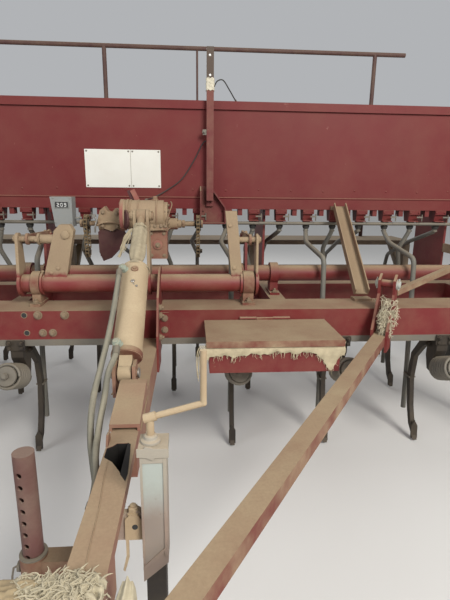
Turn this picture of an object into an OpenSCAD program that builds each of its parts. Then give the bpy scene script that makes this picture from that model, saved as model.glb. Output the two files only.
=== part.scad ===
// Trailed seed drill with three rows of spring tines, drawn in millimetres.
// The hitch faces -Y, +X is the right-hand side seen from the hitch, and the ground is at z = 0.
// Sizes along Y are written from the front face of the front beam, and place() moves the whole
// drill back or forward so that its origin is under the middle of its length.

/* [Rows] */
// Distance between neighbouring seed rows
row_pitch = 152; // [140:1:160]
// Number of seed rows, a multiple of the tine rows
row_count = 24; // [24]
// Number of tine rows from front to back
tine_rows = 3; // [3]

/* [Frame] */
// Length of the cross beams past the outer seed rows, at each end
frame_margin = 37; // [30:1:45]
// Depth of the front beam
front_beam_d = 184; // [150:1:200]
// Height of the front beam
front_beam_h = 120; // [100:1:130]
// Underside of the front beam above the ground
beam_z = 602; // [590:1:640]
// Wall of the beams
beam_wall = 8; // [5:1:10]
// Size of the square rear beams
rear_beam = 100; // [90:1:110]
// Front face of the middle beam behind the front beam's face
mid_beam_y = 620; // [600:1:640]
// Front face of the rear beam behind the front beam's face
rear_beam_y = 1180; // [1160:1:1200]
// Width of the side and inner members
member_w = 75; // [60:1:76]
// Centre of each inner member from the middle
inner_member_x = 600; // [595:1:605]
// Centre of each side member from the middle
side_member_x = 1672; // [1668:1:1676]

/* [Drawbar] */
// Hitch pin ahead of the front beam's face
hitch_y = 1450; // [1400:5:1460]
// Radius of the hitch pin hole
hitch_r = 16; // [12:0.5:18]
// Width of the centre pole
pole_w = 70; // [64:1:72]
// Height of the centre pole
pole_h = 100; // [90:1:110]
// Width of the diagonal braces
brace_w = 50; // [44:1:60]
// Height of the diagonal braces
brace_h = 42; // [36:1:50]
// Where a diagonal brace meets the front beam, from the middle
brace_x = 995; // [960:5:1010]

/* [Seed box] */
// Front face of the seed box behind the front beam's face
box_y = 688; // [680:1:700]
// Underside of the seed box above the ground
box_z = 1105; // [1100:1:1120]
// Height of the box's front wall
box_h = 504; // [480:1:520]
// Depth of the box at its mouth
box_d = 470; // [440:1:480]
// Length of the box past the half pitch beyond the outer seed rows, at each end
box_margin = 36; // [28:1:40]
// Depth of the trough at the box's foot
trough_d = 150; // [140:1:170]
// Height at which the sloped back wall turns upright
box_knee = 250; // [200:5:300]
// Sheet thickness of the box
box_wall = 4; // [3:0.5:5]
// Joint between the two lids, from the middle
lid_joint_x = 284; // [280:1:300]
// Height of the lid's front lip
lid_lip = 41; // [36:1:46]
// Height of the lid's ridge over its lip
lid_rise = 30; // [20:1:40]

/* [Running gear] */
// Outer radius of the tyres
tyre_r = 390; // [370:1:400]
// Width of the tyres
tyre_w = 205; // [190:1:220]
// Radius of the wheel rims
rim_r = 210; // [200:1:215]
// Room between a wheel leg and its tyre
wheel_gap = 37.5; // [30:0.5:45]
// Wheel axle behind the front beam's face
axle_y = 1000; // [980:5:1020]
// Radius of the stub axles
axle_r = 25; // [22:1:28]
// Radius of the long lift shaft
lift_r = 40; // [36:1:42]
// Axis of the lift shaft behind the front beam's face
lift_y = 417; // [410:1:425]
// Axis of the lift shaft above the ground
lift_z = 801; // [795:1:810]

/* [Rockshaft and cylinder] */
// Radius of the front rockshaft
rock_r = 39; // [36:1:42]
// Axis of the rockshaft behind the front beam's face
rock_y = 126; // [120:1:130]
// Axis of the rockshaft above the ground
rock_z = 811; // [808:1:818]
// Left end of the rockshaft
rock_x0 = -540; // [-560:1:-530]
// Right end of the rockshaft
rock_x1 = 481; // [475:1:500]
// Length of the rockshaft's arms between shaft and link pin
arm_len = 189; // [180:1:200]
// Length of the rockshaft's crank between shaft and rod eye
crank_len = 290; // [280:1:295]
// Forward lean of the crank in degrees
crank_lean = 5; // [3:0.5:7]
// Sideways place of the crank and the cylinder
crank_x = -17; // [-22:1:-10]
// Outer radius of the cylinder barrel
barrel_r = 48; // [42:1:52]
// Length of the cylinder barrel from its base pin
barrel_len = 440; // [420:5:450]
// Radius of the cylinder rod
rod_r = 16; // [14:1:18]
// Base pin of the cylinder ahead of the front beam's face
ram_base_y = 500; // [490:1:510]
// Base pin of the cylinder above the ground
ram_base_z = 657; // [655:1:662]

/* [Tines] */
// Wire radius of the tine springs
spring_wire = 7; // [6:0.5:8]
// Radius of the tine springs to the middle of the wire
spring_r = 47; // [44:1:52]
// Number of turns shown on each spring
spring_turns = 6; // [5:1:7]
// Width of the tine shanks
shank_w = 22; // [18:1:26]
// Clearance of the tine tips over the ground
tip_z = 8; // [6:1:12]

/* [Stands] */
// Outer side of the square jack tube
jack_w = 52; // [48:1:56]
// Radius of the parking stand's pipe
stand_r = 21; // [20:0.5:24]
// Top of the parking stand's pipe above the ground
stand_top = 706; // [700:1:760]

/* [Rear platform] */
// Top of the footboard above the ground
board_z = 880; // [860:5:900]
// Rear edge of the footboard behind the front beam's face
board_y1 = 1530; // [1520:1:1540]
// Height of the handrail above the ground
rail_z = 2115; // [2080:5:2120]
// Radius of the handrail's tube
rail_r = 14; // [12:1:17]

/* [Hidden] */
$fn = 48;

// Clearances: fit is the radial gap of a turning pin, gap keeps separate bodies apart
fit = 0.05;
gap = 0.3;

// Front and rear reach, and the shift that centres the drill on its origin
hitch_nose = 45;
front_reach = hitch_y + hitch_nose;
y_mid = (board_y1 - front_reach) / 2;

beam_top = beam_z + front_beam_h;
rear_top = beam_z + rear_beam;
half_frame = (row_count - 1) * row_pitch / 2 + frame_margin;
half_box = row_count * row_pitch / 2 + box_margin;
box_top = box_z + box_h;
box_back = box_y + box_d;
tines_per_row = row_count / tine_rows;
pole_top = beam_z;
member_xs = [-side_member_x, -inner_member_x, inner_member_x, side_member_x];

// Tine rows: [y of the bar's centre, first tine's seed row, y of the tips]
tine_row_table = [[20, 2, 170], [mid_beam_y + 20, 0, mid_beam_y + 170], [rear_beam_y + 20, 1, rear_beam_y + 170]];
tine_bar_h = 28;
tine_bar_d = 40;
tine_bar_z = beam_z - tine_bar_h;

function row_x(i) = (i - (row_count - 1) / 2) * row_pitch;

module place() { translate([0, -y_mid, 0]) children(); }

// Round bar from a to b
module rod_between(a, b, r) {
    v = b - a;
    translate(a) rotate([0, acos(v.z / norm(v)), atan2(v.y, v.x)]) cylinder(h = norm(v), r = r);
}

// Rectangular bar from a to b, w wide across and h high
module bar_between(a, b, w, h) {
    v = b - a;
    translate(a) rotate([0, acos(v.z / norm(v)), atan2(v.y, v.x)])
        translate([-h / 2, -w / 2, 0]) cube([h, w, norm(v)]);
}

// Cylinder along X from x0 to x1
module x_cyl(x0, x1, y, z, r) {
    translate([x0, y, z]) rotate([0, 90, 0]) cylinder(h = x1 - x0, r = r);
}

// Plate in the XZ plane between y0 and y1 with an outline of [x, z] points
module y_plate(y0, y1, points) {
    translate([0, y1, 0]) rotate([90, 0, 0]) linear_extrude(y1 - y0) polygon(points);
}

// Plate in the YZ plane between x0 and x1 with an outline of [y, z] points
module x_plate(x0, x1, points) {
    translate([x0, 0, 0]) rotate([90, 0, 90]) linear_extrude(x1 - x0) polygon(points);
}

// Hollow rectangular section along X
module x_section(x0, x1, y0, z0, d, h, wall) {
    difference() {
        translate([x0, y0, z0]) cube([x1 - x0, d, h]);
        translate([x0 - 1, y0 + wall, z0 + wall]) cube([x1 - x0 + 2, d - 2 * wall, h - 2 * wall]);
    }
}

module front_beam() {
    color("#7a2f2b") place() x_section(-half_frame, half_frame, 0, beam_z, front_beam_d, front_beam_h, beam_wall);
}

module rear_beams() {
    color("#7a2f2b") place() for (y = [mid_beam_y, rear_beam_y])
        x_section(-half_frame, half_frame, y, beam_z, rear_beam, rear_beam, beam_wall);
}

// Longitudinal members, in the two bays between the three beams
module long_members() {
    bays = [[front_beam_d, mid_beam_y], [mid_beam_y + rear_beam, rear_beam_y]];
    color("#7a2f2b") place() for (bay = bays, x = member_xs)
        translate([x - member_w / 2, bay[0], beam_z]) cube([member_w, bay[1] - bay[0], rear_beam]);
}

pole_x = 15;
pole_y0 = -hitch_y + 90;
anchor_w = 78;
anchor_y0 = -ram_base_y - 250;
anchor_y1 = -ram_base_y - 40;
anchor_slit = 10;
lug_gap = 25;
lug_t = 10;
lug_d = 60;
lug_h = 88;
nose_strap_w = 270;
nose_strap_d = 28;
nose_strap_t = 8;

// Centre pole under the front beam, with the cylinder's lugs, the sloped cover ahead of them, and
// the strap over its front end that ties the two braces to it
module drawbar_pole() {
    color("#a08060") place() {
        difference() {
            translate([pole_x - pole_w / 2, pole_y0, pole_top - pole_h]) cube([pole_w, front_beam_d - pole_y0, pole_h]);
            translate([0, 0, pole_top - pole_h + mouth_floor]) linear_extrude(height = pole_h) polygon(mouth);
            translate([pole_x + pole_w / 2 - recess_depth, recess_y0, pole_top - pole_h - 1])
                cube([recess_depth + 1, recess_y1 - recess_y0, pole_h - recess_flange + 1]);
        }
        difference() {
            x_plate(pole_x - anchor_w / 2, pole_x + anchor_w / 2, [[anchor_y0, pole_top], [anchor_y0, pole_top + 20],
                [anchor_y1 - 30, ram_base_z - 3], [anchor_y1, ram_base_z - 3], [anchor_y1, pole_top]]);
            translate([pole_x - anchor_w / 2 + 7, anchor_y0 - 1, pole_top - 1])
                cube([anchor_w - 14, anchor_y1 - anchor_y0 - 60, anchor_slit + 1]);
        }
        for (s = [-1, 1]) translate([crank_x + s * (lug_gap + lug_t / 2) - lug_t / 2, -ram_base_y - lug_d / 2, pole_top])
            cube([lug_t, lug_d, lug_h]);
        x_cyl(crank_x - lug_gap - 14, crank_x + lug_gap + 14, -ram_base_y, ram_base_z, ram_pin_r);
        translate([pole_x - pole_w / 2, -ram_base_y - lug_d / 2, pole_top - 12]) mirror([1, 0, 0])
            cube([pole_x - pole_w / 2 - crank_x + lug_gap + lug_t, lug_d, 12]);
        translate([-nose_strap_w / 2, pole_y0, pole_top]) cube([nose_strap_w, nose_strap_d, nose_strap_t]);
        for (s = [-1, 1]) translate([s * (nose_strap_w / 2 - 36) - 36, pole_y0, pole_top - 2.3]) cube([72, nose_strap_d, 3]);
    }
}

module hitch_tongue() {
    color("#6b5648") place() difference() {
        union() {
            translate([-45, -hitch_y, pole_top - pole_h + 20]) cube([90, 90, 50]);
            translate([0, -hitch_y, pole_top - pole_h + 20]) cylinder(h = 50, r = hitch_nose);
        }
        translate([0, -hitch_y, pole_top - pole_h]) cylinder(h = 100, r = hitch_r);
        translate([-60, -hitch_y - 60, pole_top - pole_h + 35]) cube([120, 130, 20]);
    }
}

// The brace's top face at its root and at the beam, below and above the pole's top face
brace_drop = 4;
brace_rise = 29;
module brace(s) {
    a = [s * brace_root_x, -brace_root_y, pole_top - brace_drop - brace_h / 2];
    b = [s * brace_x, -brace_end, pole_top + brace_rise - brace_h / 2];
    color("#a08060") place() bar_between(a, b, brace_w, brace_h);
}
module brace_left() { brace(-1); }
module brace_right() { brace(1); }

// Hooked ears on both sides of each brace's end, with the cross pin between them
brace_end = 34;
brace_root_x = 80;
// Open mouth in the pole's top ahead of the sloped cover, and the recess under its right edge
mouth = [[-17, -862], [-17, -826], [-4, -817], [4, -806], [31, -806], [31, -930], [26, -919], [5, -884], [-14, -867]];
mouth_floor = 8;
recess_depth = 16;
recess_flange = 25;
recess_y0 = -1130;
recess_y1 = -800;
// Middle of the lug that carries the jack
jack_lug_x = 68;
brace_root_y = hitch_y - 60;
brace_turn = atan((brace_x - brace_root_x) / (brace_root_y - brace_end));
module brace_ears() {
    color("#8a4a40") place() for (s = [-1, 1]) translate([s * brace_x, -brace_end, 0]) rotate([0, 0, -s * brace_turn]) {
        for (e = [-1, 1]) {
            x = e * (brace_w / 2 + 5.2);
            x_plate(x - 5, x + 5, [[12, 560], [12, beam_top + 6], [66, beam_top + 6], [62, 830], [40, 872],
                [0, 850], [10, 790], [-26, 720], [-66, 650], [-66, 560]]);
        }
        x_cyl(-brace_w / 2, brace_w / 2, 32, 832, 16);
    }
}

// Upright plates beside the pole in front of the beam, the right one carried up round the rockshaft
head_t = 8;
module head_plates() {
    x1 = pole_x + pole_w / 2;
    x0 = pole_x - pole_w / 2;
    z0 = pole_top - pole_h;
    color("#7d3833") place() {
        difference() {
            x_plate(x1, x1 + head_t, [[-130, z0], [-130, 650], [-60, 790], [40, 868], [100, 884], [150, 884],
                [front_beam_d - 8, 850], [front_beam_d - 8, beam_top], [0, beam_top], [0, z0]]);
            x_cyl(x1 - 1, x1 + head_t + 1, rock_y, rock_z, rock_r + fit);
        }
        x_plate(x0 - head_t, x0, [[-130, z0 + 58], [-130, 650], [-60, beam_top - 6], [0, beam_top - 6], [0, z0 + 58]]);
        translate([x1 + head_t, -8, beam_z + 8]) cube([36, 8, front_beam_h - 16]);
        translate([x0 - head_t - 36, -8, beam_z + 8]) cube([36, 8, front_beam_h - 16]);
    }
}

// The sloped back wall: its run, and how far its inner face lies above and ahead of its outer face
slope_run = box_d - trough_d;
slope_len = norm([slope_run, box_knee]);
slope_up = box_wall * slope_len / slope_run;
slope_in = box_wall * slope_len / box_knee;
slope_foot_y = box_y + trough_d + box_wall * slope_run / box_knee - slope_in;
knee_inner_z = box_z + box_knee - box_wall * box_knee / slope_run + slope_up;

module box_front() {
    color("#7a2526") place() translate([-half_box, box_y, box_z]) cube([2 * half_box, box_wall, box_h]);
}
module box_floor() {
    color("#7a2526") place() x_plate(-half_box, half_box, [[box_y + box_wall, box_z], [box_y + trough_d, box_z],
        [slope_foot_y, box_z + box_wall], [box_y + box_wall, box_z + box_wall]]);
}

// Places of the lid hinges along a lid from x0 to x1
hinge_in = 260;
hinge_w = 60;
hinge_r = 8;
hinge_y = box_back + 14;
function hinge_xs(x0, x1) = [x0 + hinge_in, (x0 + x1) / 2, x1 - hinge_in];
lid_left_x = [-half_box - 6, lid_joint_x - 3];
lid_right_x = [lid_joint_x + 3, half_box + 6];

// Back wall of the seed box with the fixed knuckles of the lid hinges
module box_rear() {
    color("#7a2526") place() {
        x_plate(-half_box, half_box, [[box_y + trough_d, box_z], [box_back, box_z + box_knee], [box_back, box_top],
            [box_back - box_wall, box_top], [box_back - box_wall, knee_inner_z], [slope_foot_y, box_z + box_wall]]);
        for (span = [lid_left_x, lid_right_x], x = hinge_xs(span[0], span[1]), e = [-1, 1])
            translate([x + e * (hinge_w + 1) - hinge_w / 2, 0, 0]) {
                x_cyl(0, hinge_w, hinge_y, box_top, hinge_r);
                translate([0, box_back - 1, box_top - hinge_r]) cube([hinge_w, hinge_y - box_back, hinge_r - 1]);
            }
    }
}

// End walls and the wall under the lid joint
module box_ends() {
    inside = [[box_y + box_wall, box_z + box_wall], [box_y + box_wall, box_top], [box_back - box_wall, box_top],
        [box_back - box_wall, knee_inner_z], [slope_foot_y, box_z + box_wall]];
    color("#7a2526") place() for (x = [-half_box + box_wall / 2, lid_joint_x, half_box - box_wall / 2])
        x_plate(x - box_wall / 2, x + box_wall / 2, inside);
}

module box_lid(x0, x1) {
    z0 = box_top + gap;
    y0 = box_y - 12;
    y1 = box_back - 2;
    ridge_y = (y0 + y1) / 2;
    color("#7a2526") place() {
        difference() {
            x_plate(x0, x1, [[y0, z0], [y0, z0 + lid_lip], [ridge_y, z0 + lid_lip + lid_rise], [y1, z0 + lid_lip], [y1, z0]]);
            x_plate(x0 + box_wall, x1 - box_wall, [[y0 + box_wall, z0 - 1], [y0 + box_wall, z0 + lid_lip - box_wall],
                [ridge_y, z0 + lid_lip + lid_rise - box_wall], [y1 - box_wall, z0 + lid_lip - box_wall],
                [y1 - box_wall, z0 - 1]]);
        }
        for (x = hinge_xs(x0, x1)) {
            x_cyl(x - hinge_w / 2, x + hinge_w / 2, hinge_y, box_top, hinge_r);
            translate([x - hinge_w / 2, y1 - 1, z0 + 0.5]) cube([hinge_w, hinge_y - y1 + 1, hinge_r - 2]);
        }
    }
}
module lid_left() { box_lid(lid_left_x[0], lid_left_x[1]); }
module lid_right() { box_lid(lid_right_x[0], lid_right_x[1]); }

module box_brackets() {
    color("#6e2a28") place() for (x = member_xs)
        x_plate(x - 6, x + 6, [[box_y + 62, rear_top], [box_y + 62, box_z], [box_y + trough_d, box_z],
            [box_back - 60, box_z + box_knee - 60 * box_knee / (box_d - trough_d)], [box_back - 60, rear_top]]);
}

funnel_y = box_y + 28;
module seed_funnels() {
    color("#7a2526") place() for (i = [0:row_count - 1]) {
        x_plate(row_x(i) - 26, row_x(i) + 26, [[funnel_y - 24, box_z], [funnel_y + 60, box_z],
            [funnel_y + 40, box_z - 62], [funnel_y - 10, box_z - 62]]);
        translate([row_x(i) + row_pitch / 2 - 12, funnel_y - 20, box_z - 34]) cube([24, 46, 34]);
    }
}

tube_r = 13;
boot_r = 21;
boot_h = 44;
tube_top_z = box_z - 62;
// Soft necks over the tops of the seed tubes
module seed_boots() {
    color("#242322") place() for (i = [0:row_count - 1]) translate([row_x(i), funnel_y + 15, tube_top_z - boot_h])
        difference() {
            cylinder(h = boot_h, r1 = boot_r - 3, r2 = boot_r);
            translate([0, 0, -1]) cylinder(h = boot_h + 2, r = tube_r + gap);
        }
}

// Way of a seed tube from its funnel to the back of its tine: [sideways, y, z]
tube_ways = [
    [[0, funnel_y + 15, tube_top_z], [0, funnel_y + 15, 985], [-38, 560, 940], [0, 340, 885], [0, 295, 360], [0, 282, 110]],
    [[0, funnel_y + 15, tube_top_z], [0, funnel_y + 15, 985], [-38, mid_beam_y + 150, 880], [0, mid_beam_y + 200, 760],
        [0, mid_beam_y + 295, 360], [0, mid_beam_y + 282, 110]],
    [[0, funnel_y + 15, tube_top_z], [0, funnel_y + 15, 985], [-38, rear_beam_y - 220, 900], [0, rear_beam_y + 150, 770],
        [0, rear_beam_y + 295, 360], [0, rear_beam_y + 282, 110]]];
module seed_tubes() {
    color("#6f665c") place() for (r = [0:tine_rows - 1], k = [0:tines_per_row - 1])
        translate([row_x(tine_row_table[r][1] + k * tine_rows), 0, 0]) {
            way = tube_ways[r];
            for (i = [0:len(way) - 2]) {
                rod_between(way[i], way[i + 1], tube_r);
                if (i > 0) translate(way[i]) sphere(r = tube_r + 0.5);
            }
        }
}

// Channel stays between the box's front wall and the front beam: [x at the box, x at the beam]
stay_xs = [[-900, -880], [1000, 966]];
module stay(x_top, x_foot) {
    translate([x_top - 42, box_y - 16, box_z]) cube([84, 16, 20]);
    translate([x_foot - 40, front_beam_d - 60, beam_top]) cube([80, 60, 12]);
    top = [x_top, box_y - 18, box_z + 14];
    foot = [x_foot, front_beam_d - 22, beam_top + 26];
    bar_between(foot, top, 66, 6);
    for (e = [-31, 31]) bar_between(foot + [e, -10, 12], top + [e, -10, 12], 5, 34);
}

// Stays from the front beam to the box, and struts from the ears to the side brackets
strut_w = 26;
strut_rear_y = 395;
strut_rear_z = 890;
module front_stays() {
    color("#8d6a52") place() for (x = stay_xs) stay(x[0], x[1]);
    color("#8d6a52") place() for (s = [-1, 1]) {
        bar_between([s * (brace_x + 75), 40, 782], [s * (side_member_x - 8), strut_rear_y, strut_rear_z], strut_w, 24);
        translate([s * side_member_x - 5, strut_rear_y - 15, strut_rear_z - 25]) cube([10, box_y + 62 - strut_rear_y + 15, 50]);
    }
}

module footboard() {
    board_x = side_member_x + 28;
    board_y0 = rear_beam_y + 38;
    color("#7b7468") place() {
        translate([-board_x, board_y0, board_z - 30]) cube([2 * board_x, board_y1 - board_y0, 30]);
        for (x = member_xs) translate([x - 20, rear_beam_y + 20, rear_top]) cube([40, 60, board_z - 30 - rear_top]);
        for (x = member_xs) x_plate(x - 20, x + 20, [[rear_beam_y + rear_beam, rear_top - 60], [rear_beam_y + rear_beam, rear_top],
            [board_y1 - 60, board_z - 30], [board_y1 - 20, board_z - 30]]);
    }
}

rail_posts = [-1449, -375, 1449];
module handrail() {
    y = board_y1 - 30;
    color("#6e3a34") place() {
        x_cyl(-side_member_x + 12, side_member_x - 12, y, rail_z, rail_r);
        for (x = rail_posts) rod_between([x, y, board_z], [x, y, rail_z], rail_r);
        rod_between([lid_joint_x - 50, y, board_z], [lid_joint_x - 50, y, rail_z], rail_r / 2);
    }
}

mast_x = lid_joint_x + 4;
mast_y = box_y - 20;
mast_top = 1892;
module box_mast() {
    web_z0 = box_z - 77;
    web_z1 = box_z + 120;
    shelf_z = box_z + 9;
    web_t = 6;
    color("#6b3a33") place() {
        translate([mast_x - 18, mast_y - 30, web_z1 - 75]) cube([36, 30, mast_top - web_z1 + 75]);
        translate([mast_x - 18, mast_y - 2, shelf_z + 6]) cube([36, box_y - mast_y, 105]);
        y_plate(box_y - web_t, box_y, [[mast_x - 52, web_z1], [mast_x + 6, web_z1], [mast_x + 86, shelf_z],
            [mast_x + 86, web_z0], [mast_x - 52, web_z0]]);
        x_plate(mast_x - 52, mast_x - 46, [[box_y - 3, web_z0], [box_y - 3, web_z1], [box_y - 60, web_z1 - 25], [box_y - 60, web_z0 + 22]]);
        y_plate(box_y - 40, box_y - 3, [[mast_x - 4, web_z1], [mast_x + 6, web_z1], [mast_x + 86, shelf_z], [mast_x + 86, web_z0],
            [mast_x + 80, web_z0], [mast_x + 80, shelf_z - 2]]);
        translate([mast_x - 50, box_y - 40, web_z0]) cube([133, 37, 6]);
    }
}

module chart_plate() {
    chart = [-362, 29, 1213, 1405];
    color("#cfcabd") place() translate([chart[0], box_y - 2, chart[2]]) cube([chart[1] - chart[0], 2, chart[3] - chart[2]]);
}

counter_x = -443;
counter_top = 1166;
module area_counter() {
    color("#6f7170") place() {
        y_plate(480, 556, [[counter_x - 52, counter_top], [counter_x + 52, counter_top], [counter_x + 50, counter_top - 144],
            [counter_x - 34, counter_top - 144]]);
        translate([counter_x - 15, 556, counter_top - 56]) cube([30, box_y - 556, 30]);
    }
}

shaft_y = 470;
shaft_z = 1040;
drum_y = 380;
drum_z = 1090;
drum_r = 66;
// Gearbox: drum with its end cover, the block under it, the shaft boss and the brackets to the seed box
module drive_housing() {
    color("#85604e") place() {
        x_cyl(-120, 60, drum_y, drum_z, drum_r);
        x_cyl(-138, -118, drum_y, drum_z - 4, drum_r + 6);
        x_cyl(58, 78, drum_y, drum_z, drum_r - 8);
        translate([-20, drum_y - 50, 1025]) cube([96, 110, 92]);
        translate([-14, drum_y - 36, 884]) cube([88, 92, 142]);
        translate([20, drum_y + 40, shaft_z - 34]) cube([56, 70, 68]);
        x_cyl(74, 120, shaft_y, shaft_z, 28);
        x_cyl(120, 140, shaft_y, shaft_z, 20);
        translate([-60, drum_y + 30, box_z + 4]) cube([80, box_y - drum_y - 30, 40]);
    }
}

// Chain loop with its two sprockets, each loop on the shaft that comes out of the gearbox: x of its left side
chain_w = 14;
chain_foot = 905;
module chain_loop(x) {
    difference() {
        union() {
            x_cyl(x, x + chain_w, shaft_y, shaft_z, 44);
            x_cyl(x, x + chain_w, shaft_y, chain_foot, 32);
            x_plate(x, x + chain_w, [[shaft_y - 32, chain_foot], [shaft_y - 44, shaft_z], [shaft_y + 44, shaft_z], [shaft_y + 32, chain_foot]]);
        }
        x_plate(x - 1, x + chain_w + 1, [[shaft_y - 24, chain_foot + 30], [shaft_y - 33, shaft_z - 30],
            [shaft_y + 33, shaft_z - 30], [shaft_y + 24, chain_foot + 30]]);
    }
}
chain_xs = [-330, 215];
module drive_chains() {
    color("#5e4b3c") place() {
        for (x = chain_xs) chain_loop(x);
        x_cyl(140, chain_xs[1] + chain_w + 12, shaft_y, shaft_z, 12);
        x_cyl(chain_xs[0] - 20, -60, shaft_y, shaft_z, 12);
    }
}

// Strap bearing on a flat at z0, bored for a shaft of radius r at height z
module strap_bearing(x, half, y, z0, z, r, foot) {
    difference() {
        union() {
            x_cyl(x - half, x + half, y, z, r + 14);
            translate([x - half, y - r + 6, z0]) cube([2 * half, 2 * r - 12, z - z0]);
            translate([x - half - 4, y - foot, z0]) cube([2 * half + 8, 2 * foot, 12]);
        }
        x_cyl(x - half - 5, x + half + 5, y, z, r + fit);
    }
}

// Rockshaft bearings on the front beam: [centre x, half width]
rock_bearings = [[-465, 17], [435, 23]];
module rockshaft_bearings() {
    color("#8a5a48") place() for (b = rock_bearings)
        strap_bearing(b[0], b[1], rock_y, beam_top, rock_z, rock_r, front_beam_d - rock_y);
}

module lift_bearings() {
    color("#6e3a34") place() for (x = member_xs) strap_bearing(x, 20, lift_y, rear_top, lift_z, lift_r, 70);
}

// Tine bars under the beams, the front one in two lengths beside the pole
module tine_bars() {
    color("#8b8374") place() {
        for (r = [1:tine_rows - 1]) translate([-half_frame, tine_row_table[r][0] - tine_bar_d / 2, tine_bar_z])
            cube([2 * half_frame, tine_bar_d, tine_bar_h]);
        for (c = [[-half_frame, pole_x - pole_w / 2 - 6], [pole_x + pole_w / 2 + 6, half_frame]])
            translate([c[0], tine_row_table[0][0] - tine_bar_d / 2, tine_bar_z]) cube([c[1] - c[0], tine_bar_d, tine_bar_h]);
    }
}

// Spring on its guide rod ahead of the bar, its axis falling towards the rear
spring_pitch = 22;
spring_tilt = 22;
spring_z = 496;
spring_front = 150;
cap_t = 8;
cap_r = 40;
spring_core = spring_r - 6;
spring_len = 2 * cap_t + spring_turns * spring_pitch;
// Rear end of a spring's axis, as [behind the row, z], and the direction across the axis
spring_end = [spring_len * cos(spring_tilt) - spring_front, spring_z - spring_len * sin(spring_tilt)];
spring_across = [sin(spring_tilt), cos(spring_tilt)];

// Curved shank from its pivot back and down to the tip, with the block under the bar that takes the spring's push
pivot_d = 62;
module shank(x, y, tip_y) {
    pts = [[y + 60, 530], [y + 120, 500], [y + 190, 420], [y + 205, 300], [y + 180, 160], [tip_y - 8, 60],
        [tip_y - 40, tip_z], [tip_y + 24, tip_z + 60], [y + 210, 160], [y + 238, 300], [y + 222, 430],
        [y + 140, 535], [y + 60, 565]];
    x_plate(x - shank_w / 2, x + shank_w / 2, pts);
    seat_top = [y, 0] + spring_end + (cap_r + 6) * spring_across;
    seat_foot = [y, 0] + spring_end - 34 * spring_across;
    x_plate(x - 25, x + 25, [[y - tine_bar_d / 2, tine_bar_z], [y - tine_bar_d / 2, tine_bar_z - 50], seat_top, seat_foot,
        [y + pivot_d - 20, seat_foot.y + 10], [y + pivot_d, 480], [y + pivot_d, tine_bar_z]]);
}

module tine_shanks() {
    color("#4a443f") place() for (row = tine_row_table, k = [0:tines_per_row - 1])
        shank(row_x(row[1] + k * tine_rows), row[0], row[2]);
}

// Half outline of one turn of wire, as [radius, along the axis]
wire_outline = [[spring_core, -spring_wire], [spring_r + 3, -spring_wire], [spring_r + spring_wire, -3],
    [spring_r + spring_wire, 3], [spring_r + 3, spring_wire], [spring_core, spring_wire]];
module spring(x, y) {
    turns = [for (k = [0:spring_turns - 1], p = wire_outline) p + [0, cap_t + (k + 0.5) * spring_pitch]];
    translate([x, y - spring_front, spring_z]) rotate([270 - spring_tilt, 0, 0])
        rotate_extrude() polygon(concat([[0, -22], [10, -22], [10, 0], [cap_r, 0], [cap_r, cap_t], [spring_core, cap_t]],
            turns, [[spring_core, spring_len - cap_t], [cap_r, spring_len - cap_t], [cap_r, spring_len], [0, spring_len]]));
}
module tine_springs() {
    color("#77736b") place() for (row = tine_row_table, k = [0:tines_per_row - 1])
        spring(row_x(row[1] + k * tine_rows), row[0]);
}

tool_x0 = 240;
tool_x1 = 748;
tool_y0 = -285;
tool_y1 = -12;
tool_z0 = 555;
tool_z1 = 676;
tool_hinge = [-9, tool_z1 + 10];
tool_knuckle_r = 5;
tool_knuckle_w = 70;
tool_mid = (tool_x0 + tool_x1) / 2;
// Toolbox on the beam's face, with the outer knuckles of its lid hinge on straps
module toolbox() {
    color("#8d2a2b") place() {
        difference() {
            translate([tool_x0 + 12, tool_y0 + 12, tool_z0]) cube([tool_x1 - tool_x0 - 24, -tool_y0 - 12, tool_z1 - tool_z0]);
            translate([tool_x0 + 16, tool_y0 + 16, tool_z0 + 4]) cube([tool_x1 - tool_x0 - 32, -tool_y0 - 20, tool_z1]);
        }
        for (e = [-1, 1]) translate([tool_mid + e * (tool_knuckle_w + 1) - tool_knuckle_w / 2, 0, 0]) {
            x_cyl(0, tool_knuckle_w, tool_hinge.x, tool_hinge.y, tool_knuckle_r);
            translate([0, -3, tool_z1 - 30]) cube([tool_knuckle_w, 3, tool_hinge.y + 5 - tool_z1 + 30]);
            translate([0, tool_hinge.x, tool_hinge.y + 1]) cube([tool_knuckle_w, -tool_hinge.x, 4]);
        }
    }
}
module toolbox_lid() {
    lid_top = tool_z1 + gap + 4;
    color("#a98a68") place() {
        difference() {
            translate([tool_x0, tool_y0, tool_z1 - 20]) cube([tool_x1 - tool_x0, tool_y1 - tool_y0 + 3, 20 + gap + 4]);
            translate([tool_x0 + 4, tool_y0 + 4, tool_z1 - 21]) cube([tool_x1 - tool_x0 - 8, tool_y1 - tool_y0 + 10, 21 + gap]);
        }
        x_cyl(tool_mid - tool_knuckle_w / 2, tool_mid + tool_knuckle_w / 2, tool_hinge.x, tool_hinge.y, tool_knuckle_r);
        translate([tool_mid - tool_knuckle_w / 2, tool_hinge.x - 4, lid_top - 1]) cube([tool_knuckle_w, 7, tool_hinge.y - lid_top]);
    }
}

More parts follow.
